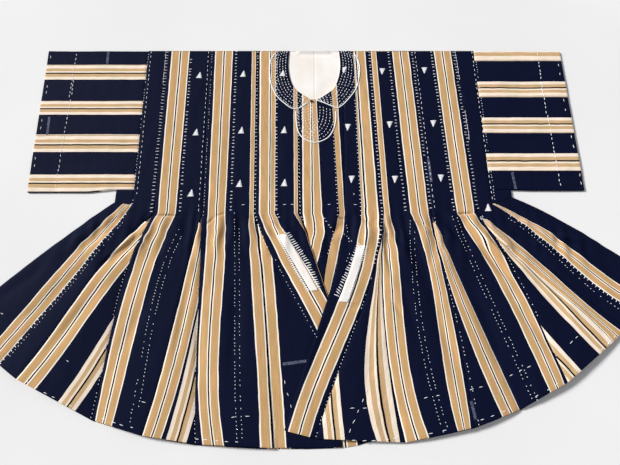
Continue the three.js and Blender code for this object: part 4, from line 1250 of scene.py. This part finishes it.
# Off-white, a little warmer in places, with a plain weave: a soft matt ground behind the bold stripes. The
# warmer patches are partly painted shade, standing in for the soft shade on the lining, though they fall at
# random.
LINING_COTTON = mottled("off-white plain cotton", ("#f3ece5", "#f9f5f2"), 70, 0.9, woven_bump, 0.3)
# Bleached thread: bright, faintly uneven along its length, its fibres breaking up the light.
THREAD = mottled("white cotton thread", ("#eceef5", "#ffffff"), 2.5, 0.75, grain_bump, 0.4, 0.5)
# Near-black and smooth enough to carry a soft highlight, with a trace of handling.
BUTTON_BLACK = mottled("black moulded button", ("#09090b", "#151517"), 2, 0.35, grain_bump, 0.1, 0.6)
# Chalk rubbed over a weave: pale on the high threads, indigo showing between.
CHALK = mottled("tailor's chalk on indigo", ("#171d36", "#616880"), 2.2, 0.95, grain_bump, 0.5, 0.8)
# Paper, almost white, with a barely visible cloudiness.
WHITE_PAPER = mottled("matt white paper", ("#eaeaeb", "#eeeeef"), 400, 0.9, grain_bump, 0.02, 1)

add_camera()
add_studio()
tops = []
for name, left, right, swell in FRONT_PIECES:
    tops.append(front_piece(name, left, right, swell))
for part in SLEEVES:
    tops.append(sleeve(**part))
for part in GUSSETS:
    tops.append(gusset(**part))
for piece in tops:
    dress(piece, STRIPED, "strip_cloth", piece.name.removesuffix("_cloth"))
for part in FACINGS:
    tops.append(facing(**part))
    dress(tops[-1], LINING_COTTON, "lining_cotton", part["name"])
surface = cloth_surface(tops)
backs = []
for name, left, right in BACK_PIECES:
    backs.append(back_piece(name, left, right))
    dress(backs[-1], STRIPED, "strip_cloth", name)
for name, left, right in (("neck_lining_left", LINING["left"], LINING["seam"]),
                          ("neck_lining_right", LINING["seam"], LINING["right"])):
    backs.append(lining_half(name, left, right))
    dress(backs[-1], LINING_COTTON, "lining_cotton", name)
for piece in tops + backs:
    thicken(piece)
front_cutter, back_cutter = neck_cutter(), back_neck_cutter()
for piece in tops + backs:
    if piece.name.removesuffix("_cloth") in NECK_PIECES:
        cut_away(piece, front_cutter)
    if piece.name in ("back_strip_4_cloth", "back_strip_5_cloth"):
        cut_away(piece, back_cutter)
bpy.data.objects.remove(front_cutter)
bpy.data.objects.remove(back_cutter)

for name, route in CORD_ROUTES.items():
    dress(couched_cord(name, route, surface), THREAD, "white_cord", name)
dress(button(surface), BUTTON_BLACK, "black_button", "neck_button")
stitched("seam_stitches", seam_stitches(), surface, THREAD, "white_cord")
stitched("loose_stitches", loose_stitches(), surface, THREAD, "white_cord")
stitched("yoke_stitches", yoke_stitches(), surface, THREAD, "white_cord")
stitched("satin_triangles", triangles(), surface, THREAD, "white_cord")
for number, ends in enumerate(CHALK_MARKS, 1):
    mark = chalk_mark(number, *ends, surface)
    dress(mark, CHALK, "strip_cloth")
    thicken(mark, CHALK_RISE * 0.8)
